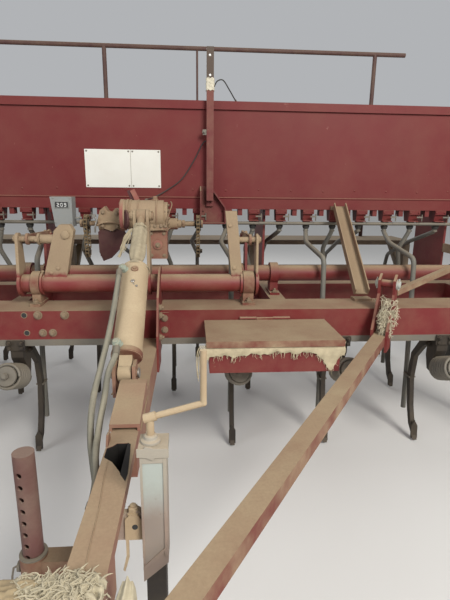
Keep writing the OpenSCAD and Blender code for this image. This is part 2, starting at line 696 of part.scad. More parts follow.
jack_x = 112;
jack_y = -1000;
jack_z0 = 406;
jack_z1 = 722;
module jack_body() {
    half = jack_w / 2;
    lug_x = pole_x + pole_w / 2 - recess_depth;
    color("#a9aaa0") place() {
        difference() {
            union() {
                translate([jack_x - half, jack_y - half, jack_z0]) cube([jack_w, jack_w, jack_z1 - jack_z0]);
                translate([jack_x - half - 3, jack_y - half - 3, jack_z1 - 18]) cube([jack_w + 6, jack_w + 6, 18]);
            }
            translate([jack_x - half + 5, jack_y - half + 5, jack_z0 - 20]) cube([jack_w - 10, jack_w - 10, jack_z1 - jack_z0 + 10]);
            y_plate(jack_y - jack_w, jack_y + jack_w, [[jack_x - half - 5, jack_z0 - 1], [jack_x + half + 5, jack_z0 - 1],
                [jack_x + half + 5, jack_z0 + 54]]);
        }
        difference() {
            union() {
                translate([lug_x, jack_y - 8, 500]) cube([jack_x - half - lug_x, 16, 62]);
                translate([jack_lug_x, jack_y + 8, 552]) rotate([90, 0, 0]) cylinder(h = 16, r = 18);
            }
            translate([jack_lug_x, jack_y + 20, 524]) rotate([90, 0, 0]) cylinder(h = 40, r = 6);
        }
    }
}
module jack_crank() {
    foot_x = jack_x - 6;
    arm = [foot_x, jack_y, jack_z1 + 52];
    bend = [jack_x + 99, jack_y, jack_z1 + 80];
    color("#9c7a62") place() {
        rod_between([foot_x, jack_y, jack_z1], arm + [0, 0, 5], 8);
        rod_between(arm, bend, 6.5);
        translate(bend) sphere(r = 7);
        rod_between(bend, bend + [0, 0, 110], 6.5);
    }
}
module jack_leg() {
    leg = jack_w / 2 - 5 - gap;
    color("#4d4a46") place() {
        difference() {
            translate([jack_x - leg, jack_y - leg, 12]) cube([2 * leg, 2 * leg, 560]);
            translate([jack_x - leg + 5, jack_y - leg + 5, 200]) cube([2 * leg - 10, 2 * leg - 10, 400]);
        }
        translate([jack_x - 60, jack_y - 60, 0]) cube([120, 120, 12]);
    }
}

stand_x = -142;
stand_y = -1000;
stand_wall = 4;
stand_holes = 8;
stand_hole_pitch = 27;
module stand_sleeve() {
    color("#7b5a48") place() difference() {
        union() {
            translate([stand_x, stand_y, 400]) cylinder(h = 70, r = stand_r + 7);
            translate([stand_x, stand_y - 20, 405]) cube([pole_x - pole_w / 2 - stand_x + 10, 40, 60]);
            translate([pole_x - pole_w / 2 - 10, stand_y - 20, 405]) cube([10, 40, pole_top - pole_h + 9 - 405]);
        }
        translate([stand_x, stand_y, 390]) cylinder(h = 90, r = stand_r + gap);
        translate([pole_x - pole_w / 2, stand_y - 21, 390]) cube([20, 42, 200]);
    }
}
module parking_stand() {
    color("#5e3029") place() difference() {
        union() {
            translate([stand_x, stand_y, 0]) cylinder(h = stand_top, r = stand_r);
            translate([stand_x, stand_y, 0]) cylinder(h = 8, r = 60);
        }
        translate([stand_x, stand_y, 20]) cylinder(h = stand_top - 20 - stand_wall, r = stand_r - stand_wall);
        for (k = [0:stand_holes - 1]) translate([stand_x, stand_y, stand_top - 40 - k * stand_hole_pitch])
            rotate([0, 0, -15]) translate([0, -50, 0]) rotate([-90, 0, 0]) cylinder(h = 100, r = 6);
    }
}

leg_clear = 45;
leg_t = 30;
leg_x = max(half_box, half_frame) + leg_clear;
wheel_x = leg_x + leg_t / 2 + wheel_gap + tyre_w / 2;
lift_arm_xs = [-506, 457];
module lift_shaft() {
    color("#75302c") place() {
        x_cyl(-leg_x - leg_t / 2, leg_x + leg_t / 2, lift_y, lift_z, lift_r);
        for (i = [0, 1]) {
            x = lift_arm_xs[i];
            x_plate(x - 6, x + 6, [[lift_y - 44, lift_z], [lift_y - 22, lift_z + arm_len], [lift_y + 22, lift_z + arm_len],
                [lift_y + 44, lift_z]]);
            x_cyl(x - 6, x + 6, lift_y, lift_z + arm_len, 22);
            x_cyl(min(x, link_xs[i] - 12), max(x, link_xs[i] + 12), lift_y, lift_z + arm_len, 12);
        }
    }
}

module wheel_legs() {
    color("#75302c") place() for (s = [-1, 1]) {
        x = s * leg_x;
        difference() {
            union() {
                x_plate(x - leg_t / 2, x + leg_t / 2, [[lift_y - 50, lift_z - 30], [lift_y - 10, lift_z + 56], [lift_y + 50, lift_z + 40],
                    [axle_y + 40, tyre_r + 24], [axle_y + 10, tyre_r - 44], [axle_y - 40, tyre_r - 30]]);
                x_cyl(x - leg_t / 2, x + leg_t / 2, lift_y, lift_z, lift_r + 22);
                x_cyl(x - leg_t / 2, x + leg_t / 2, axle_y, tyre_r, 48);
            }
            x_cyl(x - 40, x + 40, lift_y, lift_z, lift_r);
        }
        x_cyl(min(x, s * (wheel_x + 60)), max(x, s * (wheel_x + 60)), axle_y, tyre_r, axle_r);
    }
}

module tyre(s) {
    shoulder = tyre_r - 26;
    color("#2b2a28") place() translate([s * wheel_x, axle_y, tyre_r]) rotate([0, 90, 0])
        rotate_extrude($fn = 96) polygon([[rim_r, -70], [rim_r + 30, -tyre_w / 2 + 14], [rim_r + 90, -tyre_w / 2],
            [shoulder, -tyre_w / 2 + 10], [tyre_r - 8, -66], [tyre_r, -30], [tyre_r, 30], [tyre_r - 8, 66],
            [shoulder, tyre_w / 2 - 10], [rim_r + 90, tyre_w / 2], [rim_r + 30, tyre_w / 2 - 14], [rim_r, 70]]);
}
module rim(s) {
    color("#9d9a90") place() translate([s * wheel_x, axle_y, tyre_r]) rotate([0, 90, 0]) {
        rotate_extrude($fn = 96) polygon([[rim_r - gap, -70], [rim_r - gap, 70], [rim_r - 12, 70], [rim_r - 30, 20],
            [rim_r - 60, 12], [80, 22], [50, 40], [axle_r + fit, 40], [axle_r + fit, -50], [50, -50], [60, 10],
            [rim_r - 70, 0], [rim_r - 34, -8], [rim_r - 12, -70]]);
    }
}
module tyre_left() { tyre(-1); }
module tyre_right() { tyre(1); }
module rim_left() { rim(-1); }
module rim_right() { rim(1); }

crank_y = rock_y - crank_len * sin(crank_lean);
crank_z = rock_z + crank_len * cos(crank_lean);
// Plate arms of the rockshaft: [left x, right x]
plate_arms = [[-535, -523], [466, 475]];
// Broad arms across the shaft, as outlines of [x, z] points above the shaft's axis
left_arm = [[-432, 25], [-338, 25], [-297, 225], [-312, 250], [-352, 250], [-376, 225]];
right_arm = [[362, 25], [410, 25], [380, 310], [332, 310]];
collars = [[-446, -437], [400, 410]];
link_xs = [-490, 441];
pin_r = 12;
module rockshaft() {
    pin_z = rock_z + arm_len;
    color("#8a4238") place() {
        x_cyl(rock_x0, rock_x1, rock_y, rock_z, rock_r);
        for (c = collars) x_cyl(c[0], c[1], rock_y, rock_z, rock_r + 10);
        for (a = plate_arms) {
            x_plate(a[0], a[1], [[rock_y - 46, rock_z - 20], [rock_y - 26, pin_z], [rock_y + 26, pin_z], [rock_y + 46, rock_z - 20]]);
            x_cyl(a[0], a[1], rock_y, pin_z, 26);
            x_cyl(a[0], a[1], rock_y, rock_z, rock_r + 14);
        }
        for (arm = [left_arm, right_arm]) y_plate(rock_y - 22, rock_y + 18, [for (p = arm) p + [0, rock_z]]);
        for (s = [-1, 1]) {
            x0 = crank_x + s * 26 - 6;
            x_plate(x0, x0 + 12, [[rock_y - 50, rock_z], [crank_y - 26, crank_z], [crank_y + 26, crank_z], [rock_y + 50, rock_z]]);
            x_cyl(x0, x0 + 12, crank_y, crank_z, 26);
            x_cyl(x0, x0 + 12, rock_y, rock_z, 50);
            x_cyl(crank_x + s * 37 - 5, crank_x + s * 37 + 5, crank_y, crank_z, 20);
        }
        x_cyl(plate_arms[0][1] - 1, -380, rock_y, pin_z, pin_r);
        x_cyl(385, plate_arms[1][0] + 1, rock_y, pin_z, pin_r);
    }
}

link_w = 10;
module lift_links() {
    color("#7c5544") place() for (x = link_xs) difference() {
        union() {
            bar_between([x, rock_y, rock_z + arm_len], [x, lift_y, lift_z + arm_len], link_w, 40);
            x_cyl(x - link_w / 2, x + link_w / 2, rock_y, rock_z + arm_len, 24);
            x_cyl(x - link_w / 2, x + link_w / 2, lift_y, lift_z + arm_len, 24);
        }
        x_cyl(x - 20, x + 20, rock_y, rock_z + arm_len, pin_r + fit);
        x_cyl(x - 20, x + 20, lift_y, lift_z + arm_len, pin_r + fit);
    }
}

ram_a = [crank_x, -ram_base_y, ram_base_z];
ram_b = [crank_x, crank_y, crank_z];
ram_dir = (ram_b - ram_a) / norm(ram_b - ram_a);
ram_len = norm(ram_b - ram_a);
ram_pin_r = 12;
ram_foot = 54;
// Oil ports on the barrel's upper left: [distance from the base pin, sideways, outwards], the last two across the barrel
ram_out = [0, -ram_dir.z, ram_dir.y];
ports = [[76, -0.4, 0.92], [402, -0.61, 0.79]];
port_r = 10;
port_h = 20;
function ram_point(along, aside, out) = ram_a + ram_dir * along + [aside, 0, 0] + ram_out * out;
module ram_barrel() {
    color("#a3835f") place() difference() {
        union() {
            rod_between(ram_a + ram_dir * ram_foot, ram_a + ram_dir * barrel_len, barrel_r);
            x_cyl(crank_x - 20, crank_x + 20, -ram_base_y, ram_base_z, 24);
            bar_between(ram_a + ram_dir * 10, ram_a + ram_dir * (ram_foot + 2), 40, 40);
        }
        x_cyl(crank_x - 50, crank_x + 50, -ram_base_y, ram_base_z, ram_pin_r + fit);
        rod_between(ram_a + ram_dir * (ram_foot + 10), ram_a + ram_dir * (barrel_len + 1), rod_r + fit);
    }
}
module ram_ports() {
    tip = barrel_r + port_h;
    color("#8d9290") place() difference() {
        for (p = ports) rod_between(ram_point(p[0], p[1] * (barrel_r - 8), p[2] * (barrel_r - 8)), ram_point(p[0], p[1] * tip, p[2] * tip), port_r);
        rod_between(ram_a, ram_a + ram_dir * barrel_len, barrel_r + fit);
    }
}
module ram_rod() {
    color("#8f8b84") place() {
        rod_between(ram_a + ram_dir * 200, ram_b - ram_dir * 20, rod_r);
        x_cyl(crank_x - 18, crank_x + 18, crank_y, crank_z, 26);
    }
}
module ram_boot() {
    color("#a89a7c") place() difference() {
        rod_between(ram_a + ram_dir * (barrel_len + 38), ram_b - ram_dir * 78, 28);
        rod_between(ram_a + ram_dir * barrel_len, ram_b, rod_r + fit);
    }
}

// Round tube of radius r along the points of way, with flat ends
tube_sides = 10;
function unit(v) = v / norm(v);
function way_dir(way, i) = unit(way[min(i + 1, len(way) - 1)] - way[max(i - 1, 0)]);
function ring(p, d, r) =
    let (u = unit(cross(d, abs(d.x) > 0.9 ? [0, 0, 1] : [1, 0, 0])), v = cross(d, u))
    [for (k = [0:tube_sides - 1]) p + r * (cos(k * 360 / tube_sides) * u + sin(k * 360 / tube_sides) * v)];
module tube_along(way, r) {
    n = len(way);
    points = [for (i = [0:n - 1], q = ring(way[i], way_dir(way, i), r)) q];
    sides = [for (i = [0:n - 2], k = [0:tube_sides - 1]) [i * tube_sides + k, i * tube_sides + (k + 1) % tube_sides,
        (i + 1) * tube_sides + (k + 1) % tube_sides, (i + 1) * tube_sides + k]];
    polyhedron(points, concat([[for (k = [tube_sides - 1:-1:0]) k]], sides,
        [[for (k = [0:tube_sides - 1]) (n - 1) * tube_sides + k]]));
}

// Smooth way through the given points, with steps pieces between neighbours
function between(a, b, c, d, t) = 0.5 * (2 * b + (c - a) * t + (2 * a - 5 * b + 4 * c - d) * t * t + (3 * b - a - 3 * c + d) * t * t * t);
function smooth_way(pts, steps) = concat([for (i = [0:len(pts) - 2], k = [0:steps - 1])
    between(pts[max(i - 1, 0)], pts[i], pts[i + 1], pts[min(i + 2, len(pts) - 1)], k / steps)], [pts[len(pts) - 1]]);

// Oil hoses from the cylinder's ports down beside the pole to their plugs at the hitch
hose_r = 9;
hose_side_x = pole_x - pole_w / 2 - hose_r - 0.5;
hose_ends = [524, 546];
hose_ways = [
    [ram_point(378, -46, 60), ram_point(345, -46, 60), ram_point(270, -47, 58), ram_point(190, -50, 54), ram_point(94, -57, 47),
        [-83, -550, 684], [-90, -600, 643], [-93, -645, 590], [-84, -705, 543], [-60, -790, 526], [-38, -870, hose_ends[0]],
        [hose_side_x, -950, hose_ends[0]], [hose_side_x, -1120, hose_ends[0]], [hose_side_x, -1300, hose_ends[0]]],
    [ram_point(58, -23, 58), [-42, -512, 720], [-57, -553, 683], [-63, -600, 624], [-63, -680, 588], [-55, -780, 561],
        [-38, -865, 549], [hose_side_x, -950, hose_ends[1]], [hose_side_x, -1120, hose_ends[1]], [hose_side_x, -1300, hose_ends[1]]]];
module ram_hoses() {
    color("#55544d") place() for (w = hose_ways) tube_along(smooth_way(w, 6), hose_r);
}

// Cable from the upright tube along the box's front wall to the gearbox, and its loop over the lid
cable_r = 3;
cable_ways = [
    [[mast_x - 21, mast_y - 16, 1452], [mast_x - 40, box_y - 12, 1436], [mast_x - 85, box_y - 7, 1352], [mast_x - 150, box_y - 6, 1258],
        [mast_x - 230, box_y - 8, 1200], [mast_x - 300, box_y - 40, 1162], [mast_x - 330, box_y - 90, 1154]],
    [[mast_x + 21, mast_y - 16, 1712], [mast_x + 36, mast_y - 16, 1738], [mast_x + 66, mast_y - 8, 1744], [mast_x + 100, mast_y + 20, 1706],
        [mast_x + 130, mast_y + 60, 1672], [mast_x + 140, mast_y + 90, 1668]]];
module box_cable() {
    color("#1c1b1a") place() for (w = cable_ways) tube_along(smooth_way(w, 6), cable_r);
}

// Strip of coarse cloth between the toolbox and its lid, with its corner hanging down
module toolbox_rag() {
    y1 = tool_y0 + 12;
    z1 = tool_z1 - 20.5;
    color("#a8946b") place() {
        translate([tool_x0 - 4, y1 - 16, z1 - 36]) cube([tool_x1 - tool_x0 + 8, 16, 36]);
        y_plate(y1 - 16, y1, [[tool_x1 - 110, z1 - 30], [tool_x1 + 4, z1 - 30], [tool_x1 - 30, z1 - 88], [tool_x1 - 50, z1 - 90]]);
    }
}

// Tuft of straw on the right brace, between its ears
module straw_tuft() {
    color("#a8946b") place() translate([brace_x, -brace_end, 0]) rotate([0, 0, -brace_turn])
        x_plate(-brace_w / 2 + 1, brace_w / 2 - 1, [[-66, 631.5], [-78, 690], [-52, 752], [-14, 792], [12, 790], [14, 730], [12, 631.5]]);
}

// Coarse rag laid over the pole and the left brace beside the hitch
module hitch_rag() {
    z0 = pole_top + 1.5;
    color("#a8946b") place() y_plate(-1330, -1215, [[-300, z0], [-290, z0 + 40], [-150, z0 + 62], [10, z0 + 50], [52, z0 + 22], [52, z0]]);
}

front_beam();
rear_beams();
long_members();
drawbar_pole();
hitch_tongue();
brace_left();
brace_right();
brace_ears();
head_plates();
box_front();
box_floor();
box_rear();
box_ends();
box_brackets();
seed_funnels();
seed_boots();
seed_tubes();
front_stays();
footboard();
handrail();
box_mast();
chart_plate();
area_counter();
drive_housing();
drive_chains();
rockshaft_bearings();
lift_bearings();
tine_bars();
tine_shanks();
tine_springs();
toolbox();
toolbox_lid();
jack_body();
jack_crank();
jack_leg();
stand_sleeve();
parking_stand();
lid_left();
lid_right();
lift_shaft();
wheel_legs();
tyre_left();
rim_left();
tyre_right();
rim_right();
rockshaft();
lift_links();
ram_barrel();
ram_ports();
ram_rod();
ram_boot();
ram_hoses();
box_cable();
toolbox_rag();
straw_tuft();
hitch_rag();
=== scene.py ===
import bpy
import math
import random
from mathutils import Matrix, Vector


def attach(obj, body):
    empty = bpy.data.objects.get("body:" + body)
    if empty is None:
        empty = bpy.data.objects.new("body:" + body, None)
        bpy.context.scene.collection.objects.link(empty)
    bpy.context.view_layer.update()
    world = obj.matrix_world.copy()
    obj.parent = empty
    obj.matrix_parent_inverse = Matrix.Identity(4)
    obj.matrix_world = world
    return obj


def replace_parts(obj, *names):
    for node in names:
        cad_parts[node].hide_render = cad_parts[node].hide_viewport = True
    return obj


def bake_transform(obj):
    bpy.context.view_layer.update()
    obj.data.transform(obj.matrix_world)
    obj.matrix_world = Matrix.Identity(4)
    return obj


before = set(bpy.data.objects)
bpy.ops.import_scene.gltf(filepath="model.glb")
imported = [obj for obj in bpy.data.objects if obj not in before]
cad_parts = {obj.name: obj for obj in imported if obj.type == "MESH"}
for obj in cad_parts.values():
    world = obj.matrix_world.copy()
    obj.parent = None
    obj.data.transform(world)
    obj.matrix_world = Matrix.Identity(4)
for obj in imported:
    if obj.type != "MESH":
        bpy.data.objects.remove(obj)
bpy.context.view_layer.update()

# Lengths are in millimetres, with y from the front beam's face. P gives metres in the row's frame.
SHIFT = 17.5
LEFT, RIGHT, FRONT, REAR, UP = (-1, 0, 0), (1, 0, 0), (0, -1, 0), (0, 1, 0), (0, 0, 1)


def P(x, y, z):
    return Vector((x / 1000.0, (y - SHIFT) / 1000.0, z / 1000.0))


def link(name, data):
    o = bpy.data.objects.new(name, data)
    bpy.context.scene.collection.objects.link(o)
    return o


# ---------------------------------------------------------------- camera
IMAGE_HEIGHT, FOCAL_LENGTH = 600.0, 451.0  # pixels
SENSOR = 36.0
CAMERA_AT = (0.190, -1.8295, 1.21)  # metres
YAW, PITCH, ROLL = (math.radians(a) for a in (4.3, 13.8, 0.65))


def make_camera():
    ahead = Vector((math.sin(YAW) * math.cos(PITCH), math.cos(YAW) * math.cos(PITCH), -math.sin(PITCH)))
    level = Vector((math.cos(YAW), -math.sin(YAW), 0.0))
    upright = level.cross(ahead)
    right = math.cos(ROLL) * level + math.sin(ROLL) * upright
    up = -math.sin(ROLL) * level + math.cos(ROLL) * upright
    data = bpy.data.cameras.new("camera")
    data.sensor_fit = "AUTO"
    data.sensor_width = SENSOR
    data.lens = FOCAL_LENGTH / IMAGE_HEIGHT * SENSOR
    data.clip_start = 0.05
    cam = link("camera", data)
    m = Matrix((right, up, -ahead)).transposed().to_4x4()
    m.translation = Vector(CAMERA_AT)
    cam.matrix_world = m
    bpy.context.scene.camera = cam


make_camera()
bpy.context.scene.view_settings.view_transform = "Standard"


# ---------------------------------------------------------------- materials
class Shader:
    """A node material, and short calls for the nodes that it is made of."""

    def __init__(self, name):
        self.material = bpy.data.materials.new(name)
        self.material.use_nodes = True
        self.tree = self.material.node_tree
        self.bsdf = self.tree.nodes["Principled BSDF"]
        self.coord = None

    def feed(self, node, inputs):
        """Links the sockets among the inputs, and sets the rest as values."""
        for key, value in inputs.items():
            if isinstance(value, bpy.types.NodeSocket):
                self.tree.links.new(value, node.inputs[key])
            else:
                node.inputs[key].default_value = (*value, 1.0) if isinstance(value, tuple) else value

    def node(self, kind, out, inputs={}, **settings):
        n = self.tree.nodes.new("ShaderNode" + kind)
        for key, value in settings.items():
            setattr(n, key, value)
        self.feed(n, inputs)
        return n.outputs[out]

    def noise(self, scale, detail=4.0, rough=0.55):
        self.coord = self.coord or self.node("TexCoord", "Object")
        return self.node("TexNoise", "Fac", {"Vector": self.coord, "Scale": scale, "Detail": detail, "Roughness": rough})

    def span(self, value, lo, hi, to_lo=0.0, to_hi=1.0):
        return self.node("MapRange", "Result",
                         {"Value": value, "From Min": lo, "From Max": hi, "To Min": to_lo, "To Max": to_hi})

    def calc(self, op, a, b, clamp=True):
        return self.node("Math", "Value", {0: a, 1: b}, operation=op, use_clamp=clamp)

    def times(self, a, b):
        return self.calc("MULTIPLY", a, b)

    def mix(self, fac, a, b):
        return self.node("Mix", 2, {"Factor": fac, 6: a, 7: b}, data_type="RGBA")

    def z(self, vector):
        return self.node("SeparateXYZ", "Z", {"Vector": vector})

    def bump(self, height, strength, distance):
        return self.node("Bump", "Normal", {"Strength": strength, "Distance": distance, "Height": height})


def scaled(colour, factor):
    return tuple(min(1.0, c * factor) for c in colour)


DUST = (0.31, 0.235, 0.145)


def dusty(name, base, dark, rough, metal=0.0, top=1.0, all_over=0.25, dust=DUST, chips=0.0,
          chip_col=(0.16, 0.09, 0.06), scale=6.0, zone=None, spec=0.35):
    """Paint or metal with dust on what looks up (top), a thin patchy film of it (all_over), and worn spots (chips).
    zone: height at which another colour starts, height at which it is full, the colour, and the dust there."""
    g = Shader(name)
    body = g.mix(g.noise(scale * 0.7), dark, base)
    if chips:
        worn = 0.70 - chips * 0.12
        body = g.mix(g.span(g.noise(scale * 9, 6.0, 0.7), worn, worn + 0.06), body, chip_col)
    patch = g.span(g.noise(scale, 5.0, 0.6), 0.25, 0.7, 0.55, 1.0)
    lying = g.times(g.times(g.span(g.z(g.node("NewGeometry", "Normal")), 0.25, 0.9), patch), top)
    film = g.times(g.span(g.noise(scale * 1.7, 6.0, 0.62), 0.36, 0.72), all_over)
    if zone:
        start, full, colour, amount = zone
        wave = g.span(g.noise(22.0), 0.3, 0.7, -0.012, 0.012)
        part = g.span(g.calc("ADD", g.z(g.coord), wave, False), start, full)
        body = g.mix(part, body, colour)
        film = g.calc("MAXIMUM", film, g.times(g.times(part, patch), amount))
    cover = g.calc("MAXIMUM", lying, film)
    fine = g.noise(160.0, 3.0)
    dust_col = g.mix(fine, scaled(dust, 0.82), scaled(dust, 1.15))
    g.feed(g.bsdf, {"Base Color": g.mix(cover, body, dust_col), "Roughness": g.span(cover, 0.0, 1.0, rough, 0.93),
                    "Metallic": metal, "Specular IOR Level": spec, "Normal": g.bump(fine, 0.10, 0.002)})
    return g.material


def plain(name, base, rough, var=0.12, scale=30.0, bumps=0.15):
    """One colour, varied by var, with a fine bump."""
    g = Shader(name)
    n = g.noise(scale)
    g.feed(g.bsdf, {"Base Color": g.mix(n, scaled(base, 1 - var), scaled(base, 1 + var)), "Roughness": rough,
                    "Normal": g.bump(n, bumps, 0.001)})
    return g.material


MAT = {
    "box_paint": dusty("box_paint", (0.142, 0.018, 0.018), (0.108, 0.012, 0.013), 0.55, top=0.8, all_over=0.07, chips=0.22,
                       chip_col=(0.25, 0.10, 0.085), scale=3.0, spec=0.25),
    "red_paint": dusty("red_paint", (0.165, 0.017, 0.017), (0.110, 0.011, 0.012), 0.55, all_over=0.13, chips=0.35),
    "dusty_steel": dusty("dusty_steel", (0.17, 0.045, 0.03), (0.11, 0.03, 0.022), 0.7, all_over=0.85, chips=0.3),
    "tan_steel": dusty("tan_steel", (0.24, 0.145, 0.09), (0.15, 0.085, 0.055), 0.75, all_over=0.9),
    "pole": dusty("pole_steel", (0.26, 0.12, 0.085), (0.18, 0.075, 0.055), 0.75, all_over=0.55, chips=0.3),
    "barrel": dusty("barrel_steel", (0.38, 0.285, 0.18), (0.29, 0.21, 0.13), 0.7, all_over=0.85, dust=(0.43, 0.34, 0.22),
                    chips=0.15, chip_col=(0.22, 0.15, 0.09)),
    "rockshaft": dusty("rockshaft_paint", (0.19, 0.022, 0.022), (0.14, 0.016, 0.016), 0.5, all_over=0.16, chips=0.3,
                       zone=(0.846, 0.868, (0.20, 0.12, 0.08), 0.95), spec=0.45),
    "housing": dusty("housing_paint", (0.22, 0.06, 0.045), (0.15, 0.04, 0.03), 0.7, all_over=0.6, chips=0.3,
                     zone=(1.012, 1.03, (0.25, 0.15, 0.10), 0.9)),
    "mast": dusty("mast_paint", (0.14, 0.022, 0.022), (0.10, 0.016, 0.016), 0.6, top=0.9, chips=0.4,
                  zone=(1.742, 1.752, (0.045, 0.028, 0.024), 0.15)),
    "rail": dusty("rail_paint", (0.085, 0.038, 0.034), (0.055, 0.024, 0.022), 0.6, top=0.5, all_over=0.2),
    "stand": dusty("stand_paint", (0.135, 0.055, 0.047), (0.09, 0.038, 0.034), 0.65, top=0.9, all_over=0.6,
                   dust=(0.20, 0.145, 0.11)),
    "jack": dusty("jack_paint", (0.29, 0.225, 0.185), (0.22, 0.16, 0.13), 0.65, all_over=0.5, dust=(0.36, 0.29, 0.20),
                  chips=0.4, zone=(0.56, 0.66, (0.31, 0.29, 0.25), 0.3)),
    "housing_red": dusty("housing_pink", (0.27, 0.075, 0.065), (0.20, 0.05, 0.045), 0.7, all_over=0.55, chips=0.3),
    "maroon": dusty("maroon_disc", (0.060, 0.010, 0.016), (0.040, 0.007, 0.011), 0.6, top=0.3, all_over=0.15),
    "grey_steel": dusty("grey_steel", (0.20, 0.18, 0.15), (0.12, 0.11, 0.095), 0.6, 0.4, 0.7, 0.45, (0.26, 0.22, 0.155)),
    "dark_steel": dusty("dark_steel", (0.055, 0.045, 0.038), (0.03, 0.026, 0.023), 0.6, 0.5, 0.6, 0.3, (0.19, 0.145, 0.09)),
    "bright_steel": dusty("bright_steel", (0.45, 0.43, 0.40), (0.35, 0.33, 0.30), 0.35, 0.9, 0.5, 0.2),
    "pale_paint": dusty("pale_paint", (0.42, 0.45, 0.42), (0.33, 0.34, 0.31), 0.6, top=0.9, all_over=0.55, chips=0.4,
                        chip_col=(0.2, 0.13, 0.08)),
    "rim_paint": dusty("rim_paint", (0.46, 0.43, 0.36), (0.38, 0.35, 0.29), 0.55, top=0.6, all_over=0.35),
    "tyre": dusty("tyre_rubber", (0.022, 0.022, 0.021), (0.014, 0.014, 0.014), 0.85, 0.0, 0.5, 0.35, (0.16, 0.135, 0.10)),
    "rubber": dusty("black_rubber", (0.03, 0.03, 0.03), (0.018, 0.018, 0.018), 0.75, 0.0, 0.45, 0.2, (0.15, 0.13, 0.10)),
    "hose": dusty("hose_rubber", (0.10, 0.105, 0.09), (0.07, 0.07, 0.06), 0.8, 0.0, 0.9, 0.75, (0.30, 0.27, 0.20)),
    "tube": dusty("tube_plastic", (0.15, 0.145, 0.125), (0.10, 0.097, 0.085), 0.55, 0.0, 0.7, 0.3, (0.26, 0.22, 0.16)),
    "plate": dusty("chart_white", (0.66, 0.65, 0.60), (0.60, 0.59, 0.54), 0.5, 0.0, 0.2, 0.12, (0.45, 0.38, 0.28)),
    "counter": dusty("counter_grey", (0.23, 0.25, 0.25), (0.19, 0.20, 0.20), 0.5, top=0.8, all_over=0.22),
    "board": dusty("board_steel", (0.20, 0.16, 0.12), (0.13, 0.10, 0.08), 0.7, 0.2, 0.9, 0.5),
    "cloth": plain("coarse_cloth", (0.40, 0.34, 0.225), 0.95, 0.35, 45.0, 0.6),
    "sack": plain("hitch_sacking", (0.33, 0.255, 0.15), 0.95, 0.3, 40.0, 0.6),
    "straw": plain("straw", (0.47, 0.42, 0.30), 0.9, 0.35, 80.0),
    "chain": dusty("chain_steel", (0.20, 0.14, 0.075), (0.11, 0.075, 0.04), 0.6, 0.4, 0.6, 0.6),
    "pale_green": dusty("fitting_green", (0.30, 0.36, 0.30), (0.22, 0.27, 0.23), 0.5, top=0.7, all_over=0.45),
    "pale_blue": dusty("panel_blue", (0.275, 0.235, 0.20), (0.21, 0.17, 0.145), 0.55, top=0.9, all_over=0.3, chips=0.45,
                       chip_col=(0.16, 0.10, 0.065), zone=(0.565, 0.64, (0.36, 0.41, 0.39), 0.2)),
    "rag_cloth": plain("rag_cloth", (0.31, 0.26, 0.175), 0.95, 0.35, 70.0, 0.6),
    "pale_cloth": plain("pale_cloth", (0.50, 0.46, 0.36), 0.95, 0.3, 90.0, 0.6),
    "wool": plain("frayed_wool", (0.42, 0.37, 0.26), 0.95, 0.3, 90.0, 0.5),
    # painted shade: near-black, laid inside the pole's mouth and on its right lip
    "mouth_shade": plain("painted_shade_black", (0.012, 0.010, 0.008), 0.9, 0.3, bumps=0.05),
    "white": plain("digit_white", (0.75, 0.75, 0.72), 0.6, 0.05),
    # black of the counter's window, and painted shade in the holes of the beam and the jack's lug
    "black": plain("window_black_and_hole_shade", (0.02, 0.02, 0.02), 0.5, 0.2),
    "bolt": dusty("bolt_steel", (0.26, 0.19, 0.13), (0.17, 0.12, 0.08), 0.6, 0.3, 0.8, 0.55),
}
# Materials of the solids. Those that aren't here have the red paint.
SOLIDS = {
    "box_paint": "box_front box_floor box_rear box_ends lid_left lid_right seed_funnels",
    "dusty_steel": "brace_left brace_right toolbox_lid stand_sleeve rockshaft_bearings lift_links",
    "dark_steel": "tine_shanks jack_leg hitch_tongue", "grey_steel": "tine_bars tine_springs",
    "tan_steel": "ram_rod front_stays", "barrel": "ram_barrel jack_crank", "pole": "drawbar_pole",
    "housing": "drive_housing", "rockshaft": "rockshaft", "mast": "box_mast", "rail": "handrail",
    "stand": "parking_stand", "jack": "jack_body", "board": "footboard", "counter": "area_counter",
    "chain": "drive_chains", "plate": "chart_plate", "tube": "seed_tubes", "hose": "ram_ports ram_hoses",
    "rubber": "seed_boots box_cable", "rim_paint": "rim_left rim_right", "tyre": "tyre_left tyre_right",
    "cloth": "ram_boot toolbox_rag hitch_rag", "straw": "straw_tuft",
}
SOLID_MATERIAL = {node: key for key, nodes in SOLIDS.items() for node in nodes.split()}
NO_BEVEL = ("ram_hoses box_cable tine_springs seed_tubes seed_boots parking_stand chart_plate tyre_left tyre_right "
            "rim_left rim_right").split()


def bevel_edges(o, width):
    mod = o.modifiers.new("edges", "BEVEL")
    mod.width = width
    mod.segments = 2
    mod.limit_method = "ANGLE"
    mod.angle_limit = math.radians(40)


for solid_name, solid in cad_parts.items():
    solid.data.materials.clear()
    solid.data.materials.append(MAT[SOLID_MATERIAL.get(solid_name, "red_paint")])
    if solid_name not in NO_BEVEL:
        bevel_edges(solid, 0.0015)


# ---------------------------------------------------------------- mesh building
def turn_of(axis, n, start=0.0):
    """n unit vectors round the axis."""
    u = axis.orthogonal().normalized()
    w = axis.cross(u)
    return [u * math.cos(start + k * math.tau / n) + w * math.sin(start + k * math.tau / n) for k in range(n)]


